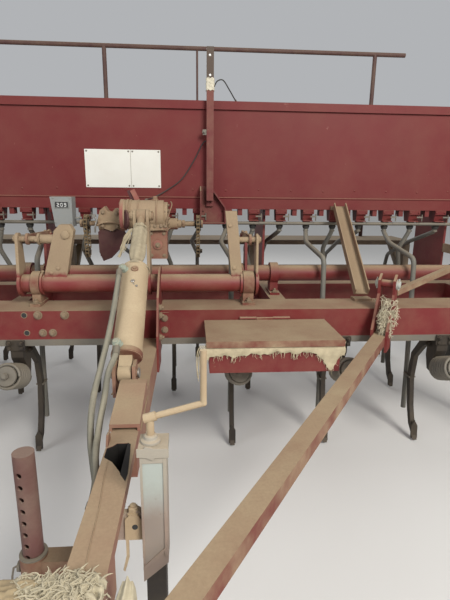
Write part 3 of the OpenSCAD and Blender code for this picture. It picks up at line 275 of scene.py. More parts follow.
class Build:
    """Collects simple solids and makes one object of them."""

    def __init__(self):
        self.v, self.f = [], []

    def add(self, verts, faces):
        n = len(self.v)
        self.v += [tuple(p) for p in verts]
        self.f += [tuple(i + n for i in q) for q in faces]

    def sleeve(self, rings, capped=False):
        """Skin over closed rings of points."""
        n, last = len(rings[0]), (len(rings) - 1) * len(rings[0])
        fs = [(i + k, i + (k + 1) % n, i + n + (k + 1) % n, i + n + k) for i in range(0, last, n) for k in range(n)]
        if capped:
            fs += [tuple(range(n - 1, -1, -1)), tuple(range(last, last + n))]
        self.add([p for ring in rings for p in ring], fs)

    def grid(self, n, m, point, flip=False):
        """Open sheet of n by m fields, with its corners at point(i, j)."""
        vs = [point(i, j) for i in range(n + 1) for j in range(m + 1)]
        quad = (0, m + 1, m + 2, 1) if flip else (0, 1, m + 2, m + 1)
        self.add(vs, [tuple(i * (m + 1) + j + q for q in quad) for i in range(n) for j in range(m)])
        return vs

    def box(self, x0, x1, y0, y1, z0, z1):
        self.add([(x, y, z) for x in (x0, x1) for y in (y0, y1) for z in (z0, z1)],
                 [(0, 1, 3, 2), (4, 6, 7, 5), (0, 4, 5, 1), (2, 3, 7, 6), (0, 2, 6, 4), (1, 5, 7, 3)])

    def prism(self, outline, a, b):
        """Outline of points at offset a, closed off at offset b."""
        self.sleeve([[Vector(p) + Vector(at) for p in outline] for at in (a, b)], True)

    def plate(self, outline, y0, y1):
        """Upright plate from y0 to y1, with its outline in (x, z)."""
        self.prism([(x, 0, z) for x, z in outline], (0, y0, 0), (0, y1, 0))

    def lathe(self, at, axis, profile, n=32):
        """Surface of revolution: profile of (along, radius) from at along axis."""
        at, axis = Vector(at), Vector(axis).normalized()
        turn = turn_of(axis, n)
        vs, rows, fs = [], [], []
        for s, r in profile:
            ring = turn if r > 1e-6 else [Vector()]
            rows.append(range(len(vs), len(vs) + len(ring)))
            vs += [at + axis * s + q * r for q in ring]
        for a, b in zip(rows, rows[1:]):
            for k in range(n):
                k2 = (k + 1) % n
                if len(a) == 1 and len(b) > 1:
                    fs.append((a[0], b[k2], b[k]))
                elif len(b) == 1 and len(a) > 1:
                    fs.append((a[k], a[k2], b[0]))
                elif len(a) > 1:
                    fs.append((a[k], a[k2], b[k2], b[k]))
        self.add(vs, fs)

    def turned(self, at, axis, profile, n=20):
        """Lathe of a profile that is closed at both ends."""
        ends = [[(s, 0)] if r else [] for s, r in (profile[0], profile[-1])]
        self.lathe(at, axis, ends[0] + list(profile) + ends[1], n)

    def disc(self, at, axis, r, thick, n=20):
        self.turned(at, axis, [(0, r), (thick, r)], n)

    def rod(self, a, b, r, n=20):
        a, b = Vector(a), Vector(b)
        self.disc(a, b - a, r, (b - a).length, n)

    def tube(self, points, r, n=10, radii=None):
        pts = [Vector(p) for p in points]
        d = [(b - a).normalized() for a, b in zip(pts[:1] + pts, pts[1:] + pts[-1:])]
        u = d[0].orthogonal().normalized()
        rings = []
        for i, p in enumerate(pts):
            u = (u - d[i] * u.dot(d[i])).normalized()
            w = d[i].cross(u)
            rr = radii[i] if radii else r
            rings.append([p + (u * math.cos(k * math.tau / n) + w * math.sin(k * math.tau / n)) * rr for k in range(n)])
        self.sleeve(rings, True)

    def bar(self, a, b, w, h, up=UP):
        """Rectangular bar from a to b, w across and h up."""
        a, b = Vector(a), Vector(b)
        d = (b - a).normalized()
        side = d.cross(Vector(up)).normalized()
        top = side.cross(d)
        ring = [side * sx * w / 2 + top * sz * h / 2 for sx, sz in ((-1, -1), (1, -1), (1, 1), (-1, 1))]
        self.sleeve([[a + q for q in ring], [b + q for q in ring]], True)

    def bolt(self, at, axis, across=19, head=8, washer=True, stud=0.0, turn=0.0):
        """Hexagon head, on a washer where there is one, with the stud's end above it."""
        at, axis = Vector(at), Vector(axis).normalized()
        if washer:
            self.disc(at, axis, across * 0.82, 2)
            at = at + axis * 2
        six = [q * across / math.sqrt(3) for q in turn_of(axis, 6, turn)]
        self.sleeve([[at + axis * head * up + q * wide for q in six] for up, wide in ((0, 1), (0.85, 1), (1, 0.84))], True)
        if stud:
            self.disc(at + axis * head, axis, across * 0.3, stud, 12)

    def make(self, name, material, body="root", smooth=35.0, bevel=0.0):
        """One object that rides on the body, if there is one. Edges sharper than smooth degrees stay sharp."""
        me = bpy.data.meshes.new(name)
        me.from_pydata([P(*v) for v in self.v], [], self.f)
        me.update()
        o = link(name, me)
        me.materials.append(MAT[material])
        me.polygons.foreach_set("use_smooth", [True] * len(me.polygons))
        if smooth:
            me.set_sharp_from_angle(angle=math.radians(smooth))
        if bevel:
            bevel_edges(o, bevel)
        if body:
            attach(o, body)
        return o


def builds(n):
    return [Build() for _ in range(n)]


def smooth_way(pts, steps):
    """Points along one smooth curve through those given."""
    pts = [Vector(p) for p in pts]
    out = []
    for i in range(len(pts) - 1):
        a, b, c, d = pts[max(i - 1, 0)], pts[i], pts[i + 1], pts[min(i + 2, len(pts) - 1)]
        for k in range(steps):
            t = k / steps
            out.append(0.5 * (2 * b + (c - a) * t + (2 * a - 5 * b + 4 * c - d) * t * t + (3 * b - a - 3 * c + d) * t ** 3))
    out.append(pts[-1])
    return out


def rounded(pts, most):
    """The way through the points, with each bend cut back by most at the most, and rounded."""
    out = [pts[0]]
    for a, b, c in zip(pts, pts[1:], pts[2:]):
        cut = min(most, (b - a).length * 0.35, (c - b).length * 0.35)
        p0, p1 = b + (a - b).normalized() * cut, b + (c - b).normalized() * cut
        out += [p0.lerp(b, t).lerp(b.lerp(p1, t), t) for t in (0, 0.25, 0.5, 0.75, 1)]
    return out + [pts[-1]]


# ---------------------------------------------------------------- sizes shared with the solids
ROW_PITCH, ROWS = 152.0, 24
TINE_ROWS = ((20.0, 2), (640.0, 0), (1200.0, 1))  # y of the tine bar, first row of seed
BEAM_HALF = 1785.0
BOX_Y, BOX_Z, BOX_HALF = 688.0, 1105.0, 1860.0
ROCK_Y, ROCK_Z, PIN_Z = 126.0, 811.0, 1000.0
LIFT_Y, LIFT_Z = 417.0, 801.0
POLE_X, POLE_LEFT = 15.0, -20.0
FEET_Y, STAND_X = -1000.0, -142.0  # the jack and the stand are in one line
EAR_X, MAST_X, MAST_Y = 995.0, 288.0, 668.0
DRUM_Y, DRUM_Z, SHAFT_Y, SHAFT_Z, CHAIN_FOOT = 380.0, 1090.0, 470.0, 1040.0, 905.0
WHEEL_X, AXLE_Y, TYRE_R = 2060.0, 1000.0, 390.0
RAM_LEAN, RAM_CRANK = math.radians(5), 290.0
RAM_A = Vector((-17.0, -500.0, 657.0))
RAM_B = Vector((RAM_A.x, ROCK_Y - RAM_CRANK * math.sin(RAM_LEAN), ROCK_Z + RAM_CRANK * math.cos(RAM_LEAN)))
RAM_D = (RAM_B - RAM_A).normalized()
RAM_OUT = Vector((0.0, -RAM_D.z, RAM_D.y))


def row_x(i):
    return (i - (ROWS - 1) / 2) * ROW_PITCH


def tines():
    """(x, y of the tine bar) of every tine."""
    return [(row_x(first + 3 * k), y) for y, first in TINE_ROWS for k in range(8)]


def ram_point(along, aside=0.0, out=0.0):
    return RAM_A + RAM_D * along + Vector((aside, 0, 0)) + RAM_OUT * out


def ram_turn(a):
    return Vector(RIGHT) * math.cos(a) + RAM_OUT * math.sin(a)


# ---------------------------------------------------------------- tines, seed tubes and outlets
def springs():
    wire, caps = builds(2)
    tilt = math.radians(22)
    d = Vector((0, math.cos(tilt), -math.sin(tilt)))
    up = Vector((0, math.sin(tilt), math.cos(tilt)))
    turns, steps = 7, 20
    for x, y in tines():
        a = Vector((x, y - 150, 496))
        pts = []
        for i in range(turns * steps + 1):
            t = i / steps
            along = 15 + 118 * min(max((t - 0.5) / (turns - 1), 0), 1)
            pts.append(a + d * along + (Vector(RIGHT) * math.cos(t * math.tau) + up * math.sin(t * math.tau)) * 47)
        wire.tube(pts, 7, 10)
        caps.turned(a, d, [(-22, 9), (0, 9), (0, 24), (1, 38), (8, 40), (8, 34), (12, 30)], 28)
        caps.turned(a + d * 136, d, [(0, 30), (4, 40), (12, 40)], 28)
        caps.rod(a + d * 8, a + d * 140, 11, 12)
        caps.bolt(a - d, -d, 24, 14, False)
    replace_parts(wire.make("tine_spring_wire", "grey_steel", smooth=60), "tine_springs")
    caps.make("tine_spring_caps", "grey_steel")


def tine_clamps():
    b = Build()
    for x, y in tines():
        front = y - 20
        b.box(x - 36, x + 36, front - 8, front - 0.5, 556, 600)
        for e in (-1, 1):
            b.bolt((x + e * 24, front - 8, 588), FRONT, 17, 8, stud=6)
            b.bolt((x + e * 24, front - 8, 566), FRONT, 13, 6, False)
            b.bolt((x + e * 17, y + 30, 484), (e, 0, 0), 13, 6, False)
            b.bolt((x + e * 25, y + 40, 540), (e, 0, 0), 22, 12, stud=6)
        # a reversible point at the shank's tip
        b.prism([(-16, 0, 0), (16, 0, 0), (16, 8, 62), (0, 10, 92), (-16, 8, 62)], (x, y + 128, 14), (x, y + 120, 12))
    b.make("tine_clamps", "dark_steel", bevel=0.001)


def tubes():
    pipe, neck, clip = builds(3)
    y0, top = BOX_Y + 43, BOX_Z - 62
    drop = [(0, y0, top), (0, y0, 985)]
    ways = (drop + [(-38, 560, 940), (0, 340, 885), (0, 295, 360), (0, 282, 110)],
            drop + [(-38, 770, 880), (0, 820, 760), (0, 915, 360), (0, 902, 110)],
            drop + [(-38, 960, 900), (0, 1330, 770), (0, 1475, 360), (0, 1462, 110)])
    for i, (x, _y) in enumerate(tines()):
        way = [Vector(p) + Vector((x, 0, 0)) for p in ways[i // 8]]
        pipe.tube(rounded(way, 30.0), 12.5, 12)
        # soft ribbed neck
        neck.turned((x, y0, top + 2), (0, 0, -1),
                    [(0, 21), (8, 21.5), (10, 19), (14, 19), (16, 21), (22, 21), (24, 18.5), (28, 18.5), (30, 20),
                     (36, 19.5), (40, 17), (46, 16)])
        clip.disc((x, y0, 992), (0, 0, -1), 14.5, 8, 16)
        bend = way[-2]
        clip.box(x - 17, x + 17, bend.y - 70, bend.y - 8, bend.z - 60, bend.z - 54)
    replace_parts(pipe.make("seed_tube_pipes", "tube", smooth=50), "seed_tubes")
    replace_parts(neck.make("seed_tube_necks", "rubber"), "seed_boots")
    clip.make("seed_tube_clips", "grey_steel")


def outlets():
    b, lever = builds(2)
    for i in range(ROWS):
        x = row_x(i)
        b.box(x - 31, x + 31, BOX_Y - 2, BOX_Y + 4, BOX_Z - 24, BOX_Z - 0.5)
        b.box(x - 27, x + 27, BOX_Y + 1, BOX_Y + 6, BOX_Z - 64, BOX_Z - 58)
        for e in (-24, 24):
            b.bolt((x + e, BOX_Y - 2, BOX_Z - 13), FRONT, 9, 4, False)
        lever.box(x + 36, x + 42, BOX_Y - 14, BOX_Y + 30, BOX_Z - 40, BOX_Z - 34)
        lever.box(x + 8, x + 42, BOX_Y - 16, BOX_Y - 8, BOX_Z - 41, BOX_Z - 33)
        lever.rod((x + 39, BOX_Y - 12, BOX_Z - 60), (x + 39, BOX_Y - 12, BOX_Z - 22), 3, 10)
    lever.rod((-1790, BOX_Y + 16, BOX_Z - 76), (1790, BOX_Y + 16, BOX_Z - 76), 9, 14)
    b.make("outlet_faces", "box_paint", bevel=0.001)
    lever.make("outlet_slides", "grey_steel", bevel=0.0008)


# ---------------------------------------------------------------- cylinder, its boot, hoses and cables
def cylinder():
    gland, ring, port, screw, pin, eye = builds(6)
    # gland with a rounded dusty shoulder, a band, and the base ring
    gland.turned(ram_point(418), RAM_D, [(0, 48.4), (14, 48.6), (24, 46.5), (32, 41), (39, 33), (44, 24), (46, 17.5)], 48)
    gland.turned(ram_point(300), RAM_D, [(0, 48.2), (3, 48.9), (6, 48.2)], 48)
    ring.turned(ram_point(53), RAM_D, [(0, 46), (3, 49.6), (17, 49.8), (20, 48.2)], 48)
    # bleed boss and three bright screws on the upper side
    ring.turned(ram_point(398, 4, 42), RAM_OUT, [(0, 13), (9, 13), (11, 11), (11, 7), (15, 6)])
    screw.turned(ram_point(338, 2, 45), RAM_OUT, [(0, 7), (6, 7), (8, 5)], 14)
    screw.turned(ram_point(318, 16, 43), RAM_OUT, [(0, 4.5), (5, 4.5), (6, 0)], 12)
    screw.turned(ram_point(326, 6, 45.5), RAM_OUT, [(0, 3), (4, 3), (5, 0)], 10)
    # ports with banjo heads and elbows
    for along, aside, up in ((76, -0.4, 0.92), (402, -0.61, 0.79)):
        out = Vector((aside, 0, 0)) + RAM_OUT * up
        at = ram_point(along)
        port.turned(at + out * 40, out, [(0, 13), (13, 13), (14, 11), (20, 11), (20, 13.5), (29, 13.5), (31, 9)])
        port.bolt(at + out * 68, out, 17, 7, False)
        port.tube([at + out * 62, at + out * 62 - RAM_D * 10], 8.5, 14)
        port.disc(at + out * 62 - RAM_D * 9, -RAM_D, 9.5, 6, 6)
    gland.make("ram_gland", "barrel", "ram_barrel")
    ring.make("ram_rings", "dusty_steel", "ram_barrel")
    screw.make("ram_screws", "bright_steel", "ram_barrel")
    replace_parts(port.make("ram_fittings", "pale_green", "ram_barrel"), "ram_ports")
    # pins at the base and at the rod's eye, with their split pins
    for s in (-1, 1):
        side = Vector((s, 0, 0))
        pin.turned(RAM_A + side * 39, side, [(0, 15), (5, 15), (7, 12)], 24)
        pin.rod(RAM_A + side * 42 - Vector((0, 0, 17)), RAM_A + side * 42 + Vector((0, 0, 18)), 2.2, 8)
        eye.turned(RAM_B + side * 42, side, [(0, 17), (6, 17), (8, 13)], 24)
        eye.rod(RAM_B + side * 46 + Vector((0, -14, 20)), RAM_B + side * 46 + Vector((0, 14, -20)), 2.2, 8)
    pin.make("ram_base_pin", "bright_steel")
    eye.make("ram_rod_pin", "tan_steel", "rockshaft")


def boot():
    """Cloth sleeve tied round the rod, its foot spread over the barrel's shoulder."""
    rnd = random.Random(4)
    profile = [(430, 49.5), (441, 47), (452, 41), (461, 31), (468, 22.5), (474, 19.5), (480, 20.5), (490, 25), (505, 28),
               (525, 29.5), (550, 29), (575, 28), (600, 28.5), (625, 29.5), (645, 30), (656, 27), (661, 23), (665, 24),
               (669, 26.5), (673, 27)]
    folds = [(rnd.uniform(0, math.tau), rnd.choice((5, 7, 9, 11, 13)), rnd.uniform(0.4, 1.3), rnd.uniform(-0.9, 0.9))
             for _ in range(6)]
    dense = []
    for (s0, r0), (s1, r1) in zip(profile, profile[1:]):
        m = max(2, int((s1 - s0) / 3.0))
        dense += [(s0 + (s1 - s0) * k / m, r0 + (r1 - r0) * k / m) for k in range(m)]
    rings = []
    for s, r in dense + profile[-1:]:
        ring = []
        for a in (k * math.tau / 72 for k in range(72)):
            fold = sum(w * math.sin(f * a + ph + tw * (s - 430) / 60.0) for ph, f, w, tw in folds)
            ring.append(ram_point(s) + ram_turn(a) * max(17.4, r + fold * min(1.0, 0.25 + (r - 18) / 14.0)))
        rings.append(ring)
    sleeve = Build()
    sleeve.sleeve(rings)
    o = sleeve.make("ram_boot_cloth", "rag_cloth", None, None)
    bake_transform(o)
    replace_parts(o, "ram_boot")
    # cords: three turns round the foot and the head of the sleeve, with loose ends
    u = Vector(RIGHT)
    for name, body, s0, r0 in (("low", "ram_barrel", 473, 21.5), ("top", "ram_rod", 662, 25.0)):
        c = Build()
        for turn in range(3):
            c.tube([ram_point(s0 + turn * 3.2 + 1.2 * math.sin(a * 2 + turn)) + ram_turn(a) * (r0 + 0.8 * math.sin(3 * a + turn))
                    for a in (k / 32 * math.tau for k in range(33))], 1.7, 6)
        for e in range(3):
            p = ram_point(s0 + 3) + ram_turn(2.0 + 0.25 * e) * r0
            c.tube(smooth_way([p, p + RAM_OUT * 5 - RAM_D * 8, p + RAM_OUT * 6 - RAM_D * (20 + 8 * e) + u * (3 * e - 4),
                               p + RAM_OUT * 2 - RAM_D * (30 + 9 * e) + u * (5 * e - 5)], 4), 1.3, 5)
        c.make("ram_boot_cord_" + name, "rag_cloth", body)
    # a strip of the sleeve hangs loose at its left side
    tail = Build()
    way = smooth_way([ram_point(650, -24, 14), ram_point(610, -38, 22), ram_point(560, -50, 26), ram_point(510, -55, 30),
                      ram_point(470, -60, 34)], 6)
    tail.grid(len(way) - 1, 4, lambda i, k: way[i] + u * ((20 + 3 * math.sin(i * 0.9) - 8 * i / len(way)) * (k / 4 - 0.5))
              + RAM_OUT * (4 * math.sin(k * 1.9 + i * 0.25)))
    tail.tube(smooth_way([way[3], way[8] + u * 12, way[14] + u * 16, way[20] + u * 10], 6), 1.4, 5)
    tail.make("ram_boot_tail", "rag_cloth", "ram_rod", 80)


HOSE_X = POLE_LEFT - 9.5
HOSE_WAYS = (
    [ram_point(*q) for q in ((378, -46, 60), (345, -46, 60), (270, -47, 58), (190, -50, 54), (94, -57, 47))]
    + [(-83, -550, 684), (-90, -600, 643), (-93, -645, 590), (-84, -705, 543), (-60, -790, 526), (-38, -870, 524),
       (HOSE_X, -950, 524), (HOSE_X, -1120, 524), (HOSE_X, -1300, 524)],
    [ram_point(58, -23, 58), (-42, -512, 720), (-57, -553, 683), (-63, -600, 624), (-63, -680, 588), (-55, -780, 561),
     (-38, -865, 549), (HOSE_X, -950, 546), (HOSE_X, -1120, 546), (HOSE_X, -1300, 546)],
)


def hoses():
    for letter, points in zip("ab", HOSE_WAYS):
        way = smooth_way(points, 6)
        b, ends, name = Build(), Build(), "ram_hose_" + letter
        b.tube(way, 9, 16)
        o = b.make(name, "hose", smooth=50)
        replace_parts(o, "ram_hoses")
        ends.turned(way[-1] + Vector((0, 6, 0)), FRONT, [(0, 9.3), (18, 9.3), (18, 8.6), (24, 8.6)], 16)
        ends.turned(way[-1] - Vector((0, 20, 0)), FRONT, [(0, 9), (14, 9), (14, 8.5), (30, 8.5), (34, 6), (40, 6), (42, 0)], 6)
        back = (way[0] - way[1]).normalized()
        ends.lathe(way[0] - back * 26, back, [(0, 9.0), (0, 10.6), (26, 10.6), (27, 7), (34, 7), (34, 0)], 16)
        ends.make(name + "_ends", "grey_steel")
    clip = Build()
    for y in (-960, -1130, -1275):
        for z in (524, 546):
            arc = [math.radians(90 + 12 * k) for k in range(16)]
            clip.grid(15, 1, lambda i, j: (HOSE_X + 10.6 * math.cos(arc[i]), y + (-9, 9)[j], z + 10.6 * math.sin(arc[i])))
        clip.box(POLE_LEFT - 2, POLE_LEFT - 0.2, y - 9, y + 9, 560, 578)
        clip.bolt((POLE_LEFT - 2, y, 569), LEFT, 13, 5, False)
    clip.make("hose_clips", "grey_steel")


# From the mast, as (x from its middle, y, z)
CABLE_WAYS = (
    [(-21, MAST_Y - 16, 1452), (-40, BOX_Y - 12, 1436), (-85, BOX_Y - 7, 1352), (-150, BOX_Y - 6, 1258),
     (-230, BOX_Y - 8, 1200), (-300, BOX_Y - 40, 1162), (-330, BOX_Y - 90, 1154)],
    [(21, MAST_Y - 16, 1712), (36, MAST_Y - 16, 1738), (66, MAST_Y - 8, 1744), (100, MAST_Y + 20, 1706),
     (130, MAST_Y + 60, 1672), (140, MAST_Y + 90, 1668)],
)


def cables():
    for letter, points in zip("ab", CABLE_WAYS):
        way = smooth_way([(MAST_X + x, y, z) for x, y, z in points], 6)
        b, end, name = Build(), Build(), "box_cable_" + letter
        b.tube(way, 3, 10)
        o = b.make(name, "rubber", smooth=60)
        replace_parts(o, "box_cable")
        d = (way[-1] - way[-2]).normalized()
        end.turned(way[-1] - d * 8, d, [(0, 4.6), (16, 4.6), (18, 3)], 12)
        end.make(name + "_end", "grey_steel")


# ---------------------------------------------------------------- drawbar pole, stand and jack
def pole_details():
    seam, lug, mouth_shade = builds(3)
    seam.tube([(-11 + 0.0546 * t + 1.2 * math.sin(t / 37.0), -752 - t, 602.2) for t in range(130, 590, 20)], 1.3, 6)
    # welds round the cylinder's lugs and the foot of the sloped cover
    for x in (RAM_A.x - 35.5, RAM_A.x + 35.5):
        for y in (-530, -470):
            seam.tube([(x - 4, y, 602.5), (x + 4, y, 602.5)], 2.5, 6)
        seam.tube([(x, y, 602.6) for y in range(-530, -465, 10)], 2.6, 6)
    for x in (POLE_X - 39.5, POLE_X + 39.5):
        seam.tube([(x, y, 603.0) for y in range(-748, -538, 14)], 2.4, 6)
    lug.prism([(0, -22, 0), (0, 22, 0), (0, 16, 22), (0, -6, 26)], (-21, -800, 600), (-15, -800, 600))
    # painted shade: a near-black lining fills the mouth, and a near-black strip lies on its right lip
    mouth = [(-17, -862), (-17, -826), (-4, -817), (4, -806), (31, -806), (31, -930), (26, -919), (5, -884), (-14, -867)]
    inner = [(x + (0.7 if x < 10 else -0.7), y + (0.7 if y < -860 else -0.7)) for x, y in mouth]
    n = len(inner)
    mouth_shade.sleeve([[(x, y, z) for x, y in inner] for z in (601.2, 511.0)])
    mouth_shade.f.append(tuple(range(n, 2 * n)))
    mouth_shade.prism([(30.4, -805, 0), (38, -812, 0), (42, -850, 0), (47, -931, 0), (45, -957, 0), (30.4, -931, 0)],
                 (0, 0, 602.05), (0, 0, 602.6))
    mouth_shade.make("pole_mouth_painted_shade", "mouth_shade", smooth=20)
    seam.make("pole_welds", "tan_steel", smooth=60)
    lug.make("pole_lugs", "dusty_steel", bevel=0.001)


def stand_details():
    pin, weld = builds(2)
    pin.lathe((STAND_X, FEET_Y, 471), UP, [(-0.5, 21.5), (0, 28), (3, 28), (5, 24), (5, 21.5)])
    pin.rod((-170, FEET_Y, 440), (-114, FEET_Y, 440), 6, 14)
    pin.disc((-176, FEET_Y, 440), RIGHT, 11, 6)
    pin.tube([(-178, -1000, 440), (-186, -1000, 436), (-188, -1006, 420), (-186, -1016, 404)], 2.2, 8)
    pin.make("stand_pin", "grey_steel")
    weld.lathe((STAND_X, FEET_Y, 8), UP, [(0, 34), (2, 30), (10, 23), (12, 21.2)])
    weld.make("stand_foot_weld", "red_paint", "parking_stand")


def jack_details():
    x0, x1, front = 86.0, 138.0, FEET_Y - 26
    ribs, panel, nut, hole, leg = builds(5)
    # ribs and bands on the front, with the recessed panel between them
    ribs.box(x0, x0 + 5, front - 2.6, front, 470, 700)
    ribs.box(x1 - 7, x1, front - 3.4, front, 474, 700)
    ribs.box(x0, x1, front - 2.8, front, 690, 703)
    ribs.plate([(x0, 440), (x1, 492), (x1, 500), (x0, 449)], front - 2.6, front)
    panel.plate([(x0 + 5, 452), (x1 - 7, 486), (x1 - 7, 690), (x0 + 5, 690)], front - 0.9, front)
    # cap with a folded lip and a ragged notch
    ribs.plate([(x0 - 5, 706), (x0 - 5, 724), (x0 + 9, 724), (x0 + 12, 729), (x0 + 24, 726), (x0 + 28, 724), (x1 + 5, 724),
                (x1 + 5, 704), (x0 + 30, 704), (x0 + 26, 698), (x0 + 14, 704)], front - 6, front - 3.2)
    ribs.turned((106, FEET_Y, 722), UP, [(0, 20), (5, 20), (8, 14), (14, 13), (16, 10)], 24)
    # lug with its nut and a black disc of painted shade for its hole, a ragged strip below it, and the crank's collar
    nut.plate([(49, 503), (84, 503), (86, 530), (84, 550), (76, 561), (60, 563), (50, 552)], -1013, -1008.4)
    nut.turned((66, FEET_Y, 560), UP, [(0, 15), (3, 15), (3, 12), (12, 11), (14, 7), (18, 7)], 6)
    hole.disc((70, -1013, 534), FRONT, 6, 0.5, 16)
    hole.make("jack_lug_hole_painted_shade", "black")
    nut.plate([(51, 556), (57, 556), (56, 460), (46, 424), (42, 428), (50, 464)], -1012, -1009)
    nut.lathe((106, FEET_Y, 774), (1, 0, 0.27), [(-12, 0), (-12, 9.5), (12, 9.5), (12, 0)], 18)
    ribs.make("jack_ribs", "jack", bevel=0.0006)
    panel.make("jack_panel", "pale_blue")
    nut.make("jack_bolts", "barrel")
    for z in range(60, 200, 28):
        leg.rod((112, front + 4.5, z), (112, front + 6.5, z), 6, 14)
    leg.turned((112, FEET_Y, 12), UP, [(0, 32), (4, 30)], 4)
    leg.make("jack_leg_marks", "dark_steel", "jack_leg")


# ---------------------------------------------------------------- front beam, head plates and ears
def beam_details():
    b, hole, cap = builds(3)
    for x, z, w in ((-434, 705, 22), (-328, 705, 22), (-420, 630, 20), (-380, 630, 20)):
        b.bolt((x, 0, z), FRONT, w, 10, stud=6, turn=0.3 * math.sin(x))
    # painted shade: flat black discs stand for the dark holes in the beam's face, each in a raised ring
    for x, z in ((-489, 705), (-484, 630)):
        hole.lathe((x, -0.6, z), REAR, [(0, 0), (0, 10), (0.4, 10)], 20)
        b.lathe((x, -1.2, z), REAR, [(0, 10), (0, 12.5), (1.2, 12.8)], 20)
    # bolts of the head plates and of the flange
    for y, z in ((-60, 749), (-40, 710), (-60, 624)):
        b.bolt((58, y, z), RIGHT, 22, 10, stud=7, turn=y)
        b.bolt((-92, y, z), LEFT, 22, 10, turn=y)
    for z in (640, 690):
        b.bolt((76, -8, z), FRONT, 18, 8)
    b.make("beam_bolts", "bolt", bevel=0.0006)
    hole.make("beam_hole_painted_shade", "black")
    for x in (-BEAM_HALF - 4, BEAM_HALF):
        cap.box(x, x + 4, 4, 96, 606, 748)
    cap.make("beam_caps", "red_paint", bevel=0.002)


def ear_pins():
    b = Build()
    brace = math.atan2(EAR_X - 80, 1390 - 34)
    for s in (-1, 1):
        axis = Vector((math.cos(-s * brace), math.sin(-s * brace), 0))
        mid = Vector((s * EAR_X, -34, 832)) + Vector((-axis.y, axis.x, 0)) * 32
        for e in (-1, 1):
            b.turned(mid + axis * e * 35.5, axis * e, [(0, 22), (4, 22), (4, 16), (13, 16), (15, 13)], 24)
            b.rod(mid + axis * e * 44 + Vector((0, 0, 24)), mid + axis * e * 44 - Vector((0, 0, 24)), 3, 8)
    b.make("ear_pin_heads", "pale_paint")


def straw():
    """Straw caught between the right ears."""
    rnd = random.Random(11)
    b = Build()
    for k in range(420):
        front = k % 5 < 3
        z0 = max(628.0, min(772.0, 690 + rnd.gauss(0, 46)))
        half = 24.0 + 18.0 * math.exp(-((z0 - 715) / 48.0) ** 2) if front else 22.0
        mid = EAR_X + (z0 - 700) * 0.10
        x0 = mid + rnd.uniform(-half, half)
        y0 = rnd.uniform(-88, -66) if front else rnd.uniform(-64, 28)
        d = Vector((rnd.uniform(-0.8, 0.8), rnd.uniform(-0.5, 0.3), rnd.uniform(-1, 1))).normalized()
        length, sag = rnd.uniform(14, 44), rnd.uniform(3, 14)
        lim = half + 5 if front else 24.0
        pts = []
        for t in (-0.5, -0.25, 0.0, 0.25, 0.5):
            q = Vector((x0, y0, z0)) + d * length * t
            q += Vector((rnd.uniform(-3, 3), rnd.uniform(-3, 3), rnd.uniform(-3, 3) - sag * 4 * t * t))
            q.x = min(mid + lim, max(mid - lim, q.x))
            q.z = max(618.0, min(792.0, q.z))
            pts.append(q)
        b.tube(pts, 1.0, 4, radii=[0.8, 1.3, 1.2, 1.1, 0.6])
    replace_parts(b.make("straw_strands", "straw", smooth=80), "straw_tuft")


# ---------------------------------------------------------------- toolbox: cloth over its front edge
def toolbox_cloth():
    rnd = random.Random(5)
    n, m = 96, 12
    x0, x1 = 236.0, 752.0
    lid_edge = 0.3  # share of the cloth that is clamped behind the lid's skirt

    def hang(t):
        """How far the cloth hangs below the lid at t along it."""
        low = 34 - 9 * t + 4 * math.sin(t * 9.0) + 3.5 * math.sin(t * 31.0 + 1) + 2.5 * math.sin(t * 71.0)
        low += 1.5 * math.sin(t * 133.0)
        if t > 0.74:
            low += 64 * math.exp(-((t - 0.90) / 0.055) ** 2) + 20 * (t - 0.74)
        return low + max(0.0, 0.03 - t) * 600

    def point(i, j):
        v = j / m
        x = x0 + (x1 - x0) * i / n + 1.5 * math.sin(i * 2.7 + j * 0.8)
        if v < lid_edge:
            return x, -277.0 + 0.8 * math.sin(i * 1.9 + j), 672.0 - 14 * v / lid_edge
        q = (v - lid_edge) / (1 - lid_edge)
        return x, -277.5 - 4.5 * math.sin(q * 2.6) - 2.4 * q * math.sin(i * 0.55 + q * 4), 658.0 - hang(i / n) * q

    cloth, threads = builds(2)
    vs = cloth.grid(n, m, point)
    o = cloth.make("toolbox_cloth", "cloth", smooth=80)
    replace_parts(o, "toolbox_rag")
    # threads of the torn edge, and a hank of them at its left end
    for _ in range(70):
        at = Vector(vs[rnd.randint(1, n - 1) * (m + 1) + m])
        ln = rnd.uniform(6, 24)
        threads.tube([at + Vector((rnd.uniform(-2, 2), rnd.uniform(-1.5, 1.0), 3)),
                      at + Vector((rnd.uniform(-3, 3), -1, -ln * 0.5)),
                      at + Vector((rnd.uniform(-7, 7), rnd.uniform(-2, 1), -ln))], 1.0, 4, radii=[1.1, 0.9, 0.5])
    for _ in range(9):
        x = x0 + rnd.uniform(-30, 12)
        threads.tube(smooth_way([(x + 12, -277, 664), (x, -284, 640), (x - 4 + rnd.uniform(-4, 4), -284, 590),
                                 (x + rnd.uniform(-8, 8), -273, 522 + rnd.uniform(-8, 30))], 4), 1.5, 5)
    threads.make("toolbox_threads", "cloth", smooth=80)


# ---------------------------------------------------------------- sacking round the hitch
def waves(a, b, *terms):
    """Sum of sines, each of (height, turns of a, turns of b)."""
    return sum(h * math.sin(a * p + b * q) for h, p, q in terms)


def sack_point(u, v):
    """Sack over the pole and the left brace: u to the right, v to the front."""
    x, y = -300 + 262 * u, -1202 - 128 * v
    h = (600.0 + (-85 - x) * 0.03 if x < -85 else 605.0) + 16
    h += waves(u, v, (7, 9, 3), (5, 4, 11), (3.5, 23, -9), (2.2, 41, 37))
    if v < 0.16:
        y += 6 * math.sin(u * 19)
        h -= 18 * (1 - v / 0.16) ** 1.5
    h -= 14 * (max(0.0, u - 0.86) / 0.14) ** 2 + 26 * (max(0.0, v - 0.86) / 0.14) ** 2
    h -= 24 * (max(0.0, 0.1 - u) / 0.1) ** 2
    return x + 3 * math.sin(v * 14), y, h


